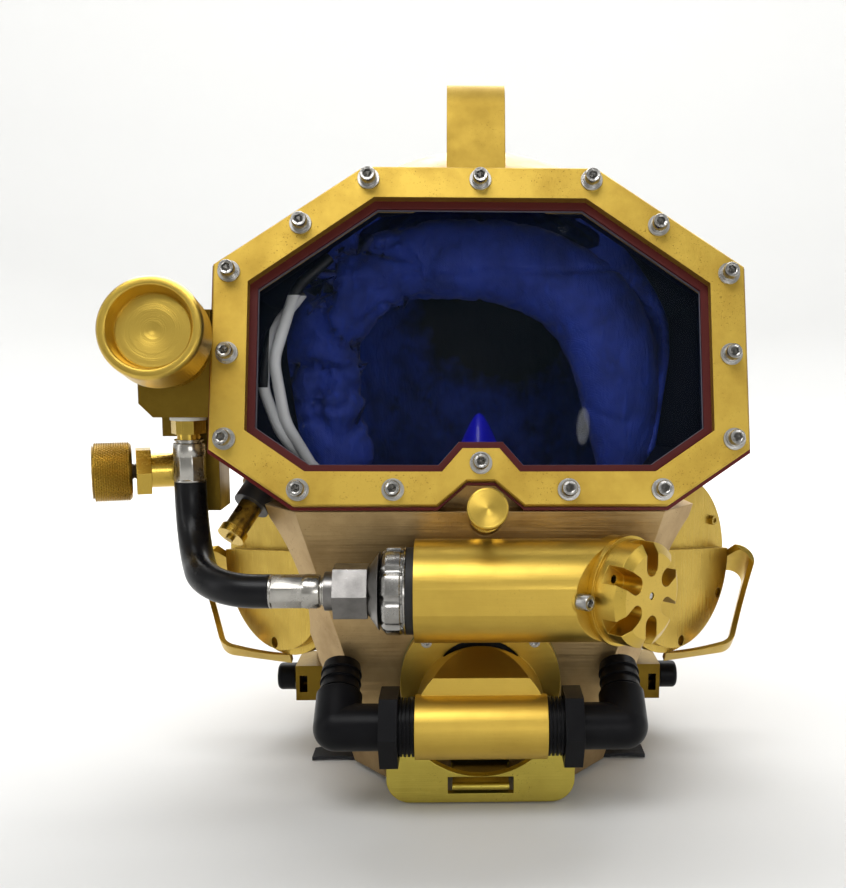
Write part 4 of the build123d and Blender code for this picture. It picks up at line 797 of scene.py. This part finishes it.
class HELMET_OT_knobs(bpy.types.Operator):
    """Turns the free flow knob, the emergency knob and the nose knob"""

    bl_idname = "helmet.knobs"
    bl_label = "Knobs"

    def execute(self, context):
        gold = tuple(context.scene.helmet_finish.gold)
        knurls = context.scene.helmet_sizes.rim_knurls
        dish = brass("dished knob brass", gold, ACROSS, 0.3, 0.1, 0.2, 0.3, FREE_FLOW, 1.2)
        profile = [
            (0, 19.85), (5.05, 19.85), (5.05, 14), (15.6, 14), (16, 14.4), (16, 20), (21.5, 20), (21.5, 14.3),
            (21.8, 14), (24.1, 14), (25, 14.9), (25, 17.0), (25, 31.5), (25, 33.0), (24.6, 34.6), (23.7, 35.7),
            (22.6, 36), (20.7, 35.7), (20.2, 35.2), (18.8, 29.2), (18.5, 28.0), (18.1, 27.5), (17.7, 27.9),
            (0.6, 28.0), (0, 27.9),
        ]
        bm = lathe(profile, knurls * 2, FREE_FLOW)
        push_columns(bm, FREE_FLOW, lambda r, h: r > 24.9 and 16 < h < 31, knurls, 0.32)
        piece("dished_knob", bm, dish, "free_flow_control", ["free_flow_knob"], 28)

        worn_gold = tinted(gold, 0.62, 0.55, 0.4)
        barrel = brass("knurled brass", worn_gold, UPRIGHT, 0.26, 0.4, 0.3, soft=0.15, fan=0.1)
        start, end, radius, bore, edge = 36.5, 56.5, 15, 4.05, 1.3
        rows, around, point = 15, 56, 0.6
        low, length = start + edge, end - start - edge * 2
        profile = [(0, 46.4), (bore, 46.4), (bore, start), (13.2, start), (14.4, start + 0.5)]
        profile += [(radius, low + length * k / rows) for k in range(rows + 1)]
        profile += [(14.4, end - 0.5), (13.2, end), (3, end), (2.4, end - 0.5), (0, end - 0.5)]
        bm = lathe(profile, around)
        for vert in bm.verts:
            if reach(vert) > radius - 0.1:
                row = round((vert.co.z - low) / length * rows)
                vert.co = Matrix.Rotation(math.tau / around * 0.5 * row, 3, "Z") @ vert.co
        wall = [f for f in bm.faces if all(reach(v) > radius - 0.1 for v in f.verts)]
        bmesh.ops.poke(bm, faces=wall, offset=point, center_mode="MEAN")
        moved(bm, EMERGENCY)
        piece("knurled_knob", bm, barrel, "emergency_control", ["emergency_knob"], 12)

        button = brass("nose knob brass", gold, ACROSS, 0.32, 0.2, 0.3, 0.3, NOSE, 1.4)
        profile = [
            (0, 36), (3.25, 36), (3.25, 30), (8.9, 30), (9.7, 30.8), (9.7, 37.9), (9.4, 38.6), (8.7, 39),
            (8.2, 38.85), (0.6, 38.6), (0, 38.4),
        ]
        knurls = 80
        bm = lathe(profile, knurls * 2, NOSE)
        push_columns(bm, NOSE, lambda r, h: r > 9.6 and 30.5 < h < 38.2, knurls, 0.18)
        piece("nose_button", bm, button, "nose_adjuster", ["nose_knob"], 28)
        return {"FINISHED"}


def crimped(place, length):
    """A crimped ferrule: eight flats at the hose, a round shoulder and a groove at the nut."""
    flats = prism(8, 8.3, 0.8, length * 0.66, math.radians(22.5), 0.35)
    ends = [
        (0, 0.02), (7.9, 0.02), (8.3, 0.4), (8.3, 1.2), (7.9, 1.6), (7.4, 1.7), (7.4, length * 0.6),
        (8.0, length * 0.61), (8.35, length * 0.66), (8.35, length * 0.86), (7.9, length * 0.91),
        (6.7, length * 0.93), (6.7, length * 0.96), (7.6, length * 0.97), (7.6, length), (0, length),
    ]
    return moved(join([flats, lathe(ends, 48)]), place)


class HELMET_OT_couplings(bpy.types.Operator):
    """Builds the hose ferrules, the coupling wheel and the threaded stem"""

    bl_idname = "helmet.couplings"
    bl_label = "Couplings"

    def execute(self, context):
        chrome = plated("ferrule chrome", (0.5, 0.48, 0.44), 0.16, 0.4, soft=0.3)
        upper = axes((-150, -100, 162), UPRIGHT)
        lower = axes((-101.9, -150, 115.6), ACROSS)
        pair = join([crimped(upper, 22.0), crimped(lower, 26.7)])
        piece("crimped_ferrules", pair, chrome, "helmet", ["hose_ferrules"], 30)

        chrome = plated("wheel chrome", (0.4, 0.39, 0.37), 0.16, 0.45)
        back, front, bore, lobes = -36.1, -48.7, 10.2, 9
        profile = [
            (bore, front), (15.5, front), (18.8, front + 1.2), (20.2, front + 2.4), (21.0, front + 3.2),
            (21.3, front + 4.2), (21.3, back - 2.6), (20.7, back - 2.0), (20.7, back - 1.2), (21.2, back - 0.8),
            (21.0, back), (bore, back), (bore, front),
        ]
        bm = lathe(profile, 144)
        for vert in bm.verts:
            away = reach(vert)
            if away > 18 and vert.co.z < back - 1.6:
                turn = (bearing(vert) / math.tau * lobes) % 1.0
                flute = max(0.0, 1 - abs(turn - 0.5) / 0.19)
                depth = (1 - (1 - flute) ** 2) * 1.5
                widen(vert, 1 - depth / away)
        moved(bm, REGULATOR)
        piece("fluted_wheel", bm, chrome, "coupling", ["inlet_wheel"], 24)

        thread = plated("stem steel", (0.16, 0.13, 0.09), 0.35, 0.5)
        crest, root, pitch, height, end = 4.0, 3.55, 1.35, 2.0, 46.3
        profile = [(0, -3), (3.9, -3), (3.9, height)]
        while height < end - 0.8:
            profile += [(crest, height + 0.25), (crest, height + 0.55)]
            profile += [(root, height + 0.9), (root, height + 1.1)]
            height += pitch
        profile += [(0, end)]
        bm = lathe(profile, 32, EMERGENCY)
        piece("threaded_stem", bm, thread, "emergency_control", ["emergency_stem"], 25)
        return {"FINISHED"}


# Soft pieces

def merged(mesh):
    """A mesh in metres with its doubles merged."""
    bm = bmesh.new()
    bm.from_mesh(mesh)
    bmesh.ops.remove_doubles(bm, verts=bm.verts, dist=0.00001)
    return bm


def tube_along(points, radii, flat):
    """A padded roll along places in millimetres, flattened front to back."""
    curve = bpy.data.curves.new("roll", "CURVE")
    curve.dimensions = "3D"
    curve.bevel_depth = MM
    curve.bevel_resolution = 6
    curve.use_fill_caps = True
    curve.resolution_u = 8
    spline = curve.splines.new("NURBS")
    spline.points.add(len(points) - 1)
    for point, place, radius in zip(spline.points, points, radii):
        point.co = (*(Vector(place) * MM), 1)
        point.radius = radius
    spline.order_u = 3
    spline.use_endpoint_u = True
    thing = bpy.data.objects.new("roll", curve)
    mesh = bpy.data.meshes.new_from_object(thing)
    bpy.data.objects.remove(thing)
    bm = merged(mesh)
    middle = points[0][1] * MM
    for vert in bm.verts:
        vert.co.y = middle + (vert.co.y - middle) * flat
    bmesh.ops.recalc_face_normals(bm, faces=bm.faces)
    return bm


def settled(thing):
    """Applies the modifiers of a piece to its mesh."""
    graph = bpy.context.evaluated_depsgraph_get()
    mesh = bpy.data.meshes.new_from_object(thing.evaluated_get(graph), depsgraph=graph)
    thing.modifiers.clear()
    thing.data = mesh
    mesh.shade_smooth()


def even_skin(thing, voxel):
    """Adds a remesh that closes a pad's skin and evens its faces."""
    remesh = thing.modifiers.new("voxels", "REMESH")
    remesh.mode = "VOXEL"
    remesh.voxel_size = voxel


def finer(thing):
    """Divides a pad's faces once, in the mesh itself."""
    divide = thing.modifiers.new("finer", "SUBSURF")
    divide.levels = divide.render_levels = 1
    settled(thing)


def puffed(thing, pressure, cap):
    """Blows a pad up as cloth, no point going further than the cap in metres."""
    frames = 20
    start = [vert.co.copy() for vert in thing.data.vertices]
    scene = bpy.context.scene
    skin = thing.modifiers.new("cloth", "CLOTH")
    skin.settings.quality = 4
    skin.settings.mass = 0.2
    skin.settings.tension_stiffness = skin.settings.compression_stiffness = 8
    skin.settings.bending_stiffness = 0.3
    skin.settings.use_pressure = True
    skin.settings.uniform_pressure_force = pressure
    skin.settings.effector_weights.gravity = 0
    skin.collision_settings.use_collision = False
    skin.point_cache.frame_start = 1
    skin.point_cache.frame_end = frames
    for step in range(1, frames + 1):
        scene.frame_set(step)
    settled(thing)
    scene.frame_set(1)
    for vert, old in zip(thing.data.vertices, start):
        away = vert.co - old
        if away.length > cap:
            vert.co = old + away * (cap / away.length)


def ridge(at, sharp):
    """Folded noise: round puffs between narrow creases, from 0 in a crease to 1 on a puff."""
    return 1 - (1 - min(1.0, abs(noise.noise(at)) * 2.4)) ** (1 + sharp)


def seam(away, half):
    """How deep a sewn seam pulls the cloth in, from 1 on the seam to 0 past its half width."""
    return max(0.0, 1 - abs(away) / half) ** 1.5


def from_row(at, pitch):
    """How far a place lies from the nearest of a set of even rows."""
    return (at + pitch / 2) % pitch - pitch / 2


class HELMET_OT_liner(bpy.types.Operator):
    """Builds the padded hood with its forehead roll and its gathered side"""

    bl_idname = "helmet.liner"
    bl_label = "Padded hood"

    def execute(self, context):
        puff = context.scene.helmet_sizes.pad_puff
        tint = tuple(context.scene.helmet_finish.cloth)
        blue = cloth("hood cloth", tint, tinted(tint, 0.5), 0.08)
        # The deep cloth is the hood's blue made brighter, painted light for the dim inside of the shell, and it
        # takes painted shade at the back.
        deep = cloth("deep cloth", tinted(tint, 1.25), tinted(tint, 0.3), 0.02, (18, 250, 58))
        bm = merged(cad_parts["head_liner"].data)
        shell = piece("quilted_liner", bm, deep, "helmet", ["head_liner"], 0)
        even_skin(shell, 0.005)
        smooth = shell.modifiers.new("ease", "SMOOTH")
        smooth.iterations = 4
        settled(shell)
        for vert in shell.data.vertices:
            x, y, z = vert.co / MM
            turn = math.atan2(x, y) * 100
            rows = seam(from_row(turn, 38), 4) + seam(from_row(z, 42), 4)
            inward = -(vert.co.x * vert.normal.x + vert.co.y * vert.normal.y) > 0
            if inward:
                wrinkle = ridge(Vector((turn * 0.03, z * 0.022, 3.1)), 0.6)
                vert.co -= vert.normal * (puff * 0.5 * min(1.0, rows) + (1 - wrinkle) * puff * 0.35)

        arch = [
            (-80, 158), (-88, 188), (-91, 216), (-88, 241), (-75, 262), (-50, 274), (-20, 279),
            (12, 278), (40, 270), (62, 256), (76, 234), (82, 208), (86, 182), (88, 158),
        ]
        radii = [20, 23, 24, 24, 23, 23, 24, 25, 26, 28, 28, 25, 21, 16]
        roll = tube_along([(x, -36, z) for x, z in arch], radii, 0.72)
        hood = piece("hood_roll", roll, blue, "helmet", [], 0)
        even_skin(hood, 0.0045)
        settled(hood)
        puffed(hood, 3.0, 0.003)
        finer(hood)
        heart, brow = 205, 240
        for vert in hood.data.vertices:
            x, y, z = vert.co / MM
            turn = math.atan2(x, z - heart)
            out = math.hypot(x, z - heart)
            gather = held((-x - 18) / 26, 0.12)
            wave = ridge(Vector((turn * 3.6 + y * 0.02, out * 0.03, y * 0.03)), 1.6)
            small = ridge(Vector((turn * 8 + 4, out * 0.05, y * 0.05 + 7)), 1.2)
            depth = (1 - wave) * 9 * gather + (1 - small) * 3.5 * gather
            middle = seam(x - 1, 2.4) if z > brow else 0.0
            along = seam(z - (270 + (x / 40) * 2.5), 2.2) if z > brow and y < -40 else 0.0
            depth = depth * held((z - 172) / 24, 0.1) + max(middle, along) * 2.6
            vert.co -= vert.normal * depth * MM
        return {"FINISHED"}


class HELMET_OT_mask(bpy.types.Operator):
    """Moulds the oral nasal mask with its nose bridge, the nose pad and the neck dam"""

    bl_idname = "helmet.mask"
    bl_label = "Mask and seals of the diver"

    def execute(self, context):
        blue = moulded("blue silicone", (0.008, 0.006, 0.6), 0.36, 0.2, 0.1, soft=0.4, coat=0.2)
        profile = [
            (10.4, 0), (15.5, 0), (17, 1.4), (21, 10), (25, 19), (29, 28), (34, 39), (38, 47), (42, 52),
            (43.5, 54), (42.5, 55), (39.4, 53.4), (35.4, 46.6), (31.4, 38.6), (26.4, 27.6), (22.4, 18.6),
            (18, 9), (14.4, 2.5), (10.4, 2.5), (10.4, 0),
        ]
        bm = lathe(profile, 96)
        for vert in bm.verts:
            turn = math.atan2(vert.co.x, vert.co.y)
            share = held((vert.co.z - 14) / 38) ** 1.3
            peak = math.exp(-((turn / 0.36) ** 2)) * share
            vert.co.y += peak * 34
            vert.co.x *= 1 - peak * 0.25
        moved(bm, axes((0, -101, 116), (0, 1, 0)))
        shaft = axes((2.5, -137.26, 149.93), FACE_OUT)
        back = shaft.inverted()
        clear = 4.6
        for vert in bm.verts:
            at = back @ vert.co
            away = math.hypot(at.x, at.y)
            if away < clear and at.z < 0:
                away = max(away, 0.5)
                vert.co = shaft @ Vector((at.x * clear / away, at.y * clear / away, at.z))
        piece("face_mask", bm, blue, "helmet", ["oral_nasal_mask"], 40)

        foam = moulded("nose foam", (0.012, 0.012, 0.013), 0.75, 1.2, 0.3, soft=1.0)
        length, width, thickness = 21.4, 7.6, 6.6
        bm = bmesh.new()
        bmesh.ops.create_cube(bm, size=1)
        bmesh.ops.scale(bm, vec=(length, width, thickness), verts=bm.verts)
        bmesh.ops.subdivide_edges(bm, edges=bm.edges, cuts=5, use_grid_fill=True)
        for vert in bm.verts:
            share = abs(vert.co.x) / (length / 2)
            waist = 1 - 0.22 * (1 - share) ** 2
            vert.co.y *= waist
            across, deep = abs(vert.co.y) / (width / 2), abs(vert.co.z) / (thickness / 2)
            vert.co.x *= 1 - 0.10 * across ** 3 - 0.06 * deep ** 3
            if vert.co.z < 0:
                vert.co.z *= 1 - 0.3 * (1 - share) ** 2
        moved(bm, NOSE @ Matrix.Translation((0, 0, -73.4)))
        pad = piece("nose_foam", bm, foam, "nose_adjuster", ["nose_pad"], 0)
        finer(pad)

        rubber = moulded("dam neoprene", (0.012, 0.012, 0.014), 0.62, 0.9, 0.35, soft=0.6)
        profile = [
            (76.3, 8.1), (80, 8.1), (80, 10), (78.6, 12.5), (74.4, 17.6), (68.6, 23.6), (62, 30.8), (56, 37.2),
            (52.6, 40.6), (52, 41.6), (51, 42), (50.2, 41.4), (50.4, 40), (54, 36), (60, 29.6), (66.6, 22.4),
            (72.6, 16.2), (76.3, 11.6), (76.3, 8.1),
        ]
        bm = lathe(profile, 120)
        for vert in bm.verts:
            turn = bearing(vert)
            share = held((vert.co.z - 14) / 10) * held((41 - vert.co.z) / 6)
            pull = (math.sin(turn * 9) + 0.6 * math.sin(turn * 23 + 1.3)) * 0.55 * share
            widen(vert, 1 + pull / reach(vert))
        moved(bm, Matrix.Scale(MM, 4))
        piece("neck_seal", bm, rubber, "neck", ["neck_dam"], 40)
        return {"FINISHED"}


class HELMET_OT_straps(bpy.types.Operator):
    """Weaves the strap ends that stand out under the shell"""

    bl_idname = "helmet.straps"
    bl_label = "Strap ends"

    def execute(self, context):
        webbing = moulded("dark webbing", (0.016, 0.017, 0.02), 0.72, 1.2, 0.5, soft=0.3)
        middle_y, width, tip_x, neck, foot = -67.5, 14.6, 93.8, 94, 0.2
        ends = []
        for side in (-1, 1):
            bm = bmesh.new()
            bmesh.ops.create_grid(bm, x_segments=26, y_segments=22, size=0.5)
            for vert in bm.verts:
                share, across = vert.co.x + 0.5, vert.co.y
                y = middle_y + across * width
                root = max(math.sqrt(neck ** 2 - y ** 2), 69 - (y + 82) * 10 / 62) + 0.2
                x = root + (tip_x - root) * share
                ribs = across * math.tau * 5.5
                rib = 0.5 * math.cos(ribs) + 0.35 * math.cos(share * 40 + ribs)
                rib = rib if side > 0 else 0.25 * math.cos(share * 22)
                lift = 2.6 + 0.9 * math.sin(share * 3) + 0.25 * rib
                if share > 0.99 and side > 0:
                    x -= 0.7 * (round(across * 44) % 2)
                vert.co = (side * x, y, lift)
            bmesh.ops.solidify(bm, geom=bm.faces, thickness=1.9)
            bmesh.ops.recalc_face_normals(bm, faces=bm.faces)
            low = min(vert.co.z for vert in bm.verts)
            bmesh.ops.translate(bm, verts=bm.verts, vec=(0, 0, foot - low))
            ends.append(moved(bm, Matrix.Scale(MM, 4)))
        piece("webbing_ends", join(ends), webbing, "helmet", ["strap_ends"], 50)
        return {"FINISHED"}


class HELMET_OT_trim(bpy.types.Operator):
    """Adds the lip of the window pane and the red bead of the gasket round the frame"""

    bl_idname = "helmet.trim"
    bl_label = "Pane lip and gasket bead"

    def execute(self, context):
        grey = moulded("pane lip", (0.10, 0.10, 0.125), 0.34, 0.3, 0.1)
        lip = ring(WINDOW_OUTLINE, WINDOW_HALF, WINDOW_TOP, inset=4.1, width=4.4, low=-8.98, height=0.9)
        piece("pane_lip", lip, grey, "helmet", [], 30)
        # The bead's red is brighter than the gasket's: painted light on a rim that lies in the frame's shadow.
        red = moulded("gasket bead", (0.12, 0.004, 0.004), 0.4, 0.4, 0.1, soft=0.4)
        half, top = FRAME_HALF + 1.6, FRAME_TOP + 1.8
        bead = ring(FRAME_OUTLINE, half, top, inset=0.01, width=4.0, low=-8.9, height=2.7)
        piece("gasket_bead", bead, red, "helmet", [], 30)
        return {"FINISHED"}


STEPS = (
    HELMET_OT_stage,
    HELMET_OT_castings,
    HELMET_OT_seals,
    HELMET_OT_plated,
    HELMET_OT_screws,
    HELMET_OT_knobs,
    HELMET_OT_couplings,
    HELMET_OT_liner,
    HELMET_OT_mask,
    HELMET_OT_straps,
    HELMET_OT_trim,
)


class HELMET_PT_panel(bpy.types.Panel):
    """Lists the pieces of the helmet"""

    bl_idname = "HELMET_PT_panel"
    bl_label = "Brass Diving Helmet"
    bl_space_type = "VIEW_3D"
    bl_region_type = "UI"
    bl_category = "Helmet"

    def draw(self, context):
        scene = context.scene
        for group in (scene.helmet_finish, scene.helmet_sizes, scene.helmet_stage):
            box = self.layout.box()
            for name in group.bl_rna.properties.keys():
                if name not in ("rna_type", "name"):
                    box.prop(group, name)
        for step in STEPS:
            self.layout.operator(step.bl_idname)


GROUPS = (HelmetFinish, HelmetSizes, HelmetStage)


def register():
    for cls in (*GROUPS, *STEPS, HELMET_PT_panel):
        bpy.utils.register_class(cls)
    bpy.types.Scene.helmet_finish = bpy.props.PointerProperty(type=HelmetFinish)
    bpy.types.Scene.helmet_sizes = bpy.props.PointerProperty(type=HelmetSizes)
    bpy.types.Scene.helmet_stage = bpy.props.PointerProperty(type=HelmetStage)


def unregister():
    del bpy.types.Scene.helmet_finish
    del bpy.types.Scene.helmet_sizes
    del bpy.types.Scene.helmet_stage
    for cls in reversed((*GROUPS, *STEPS, HELMET_PT_panel)):
        bpy.utils.unregister_class(cls)


def main():
    register()
    for step in STEPS:
        group, name = step.bl_idname.split(".")
        getattr(getattr(bpy.ops, group), name)()


if __name__ == "__main__":
    main()
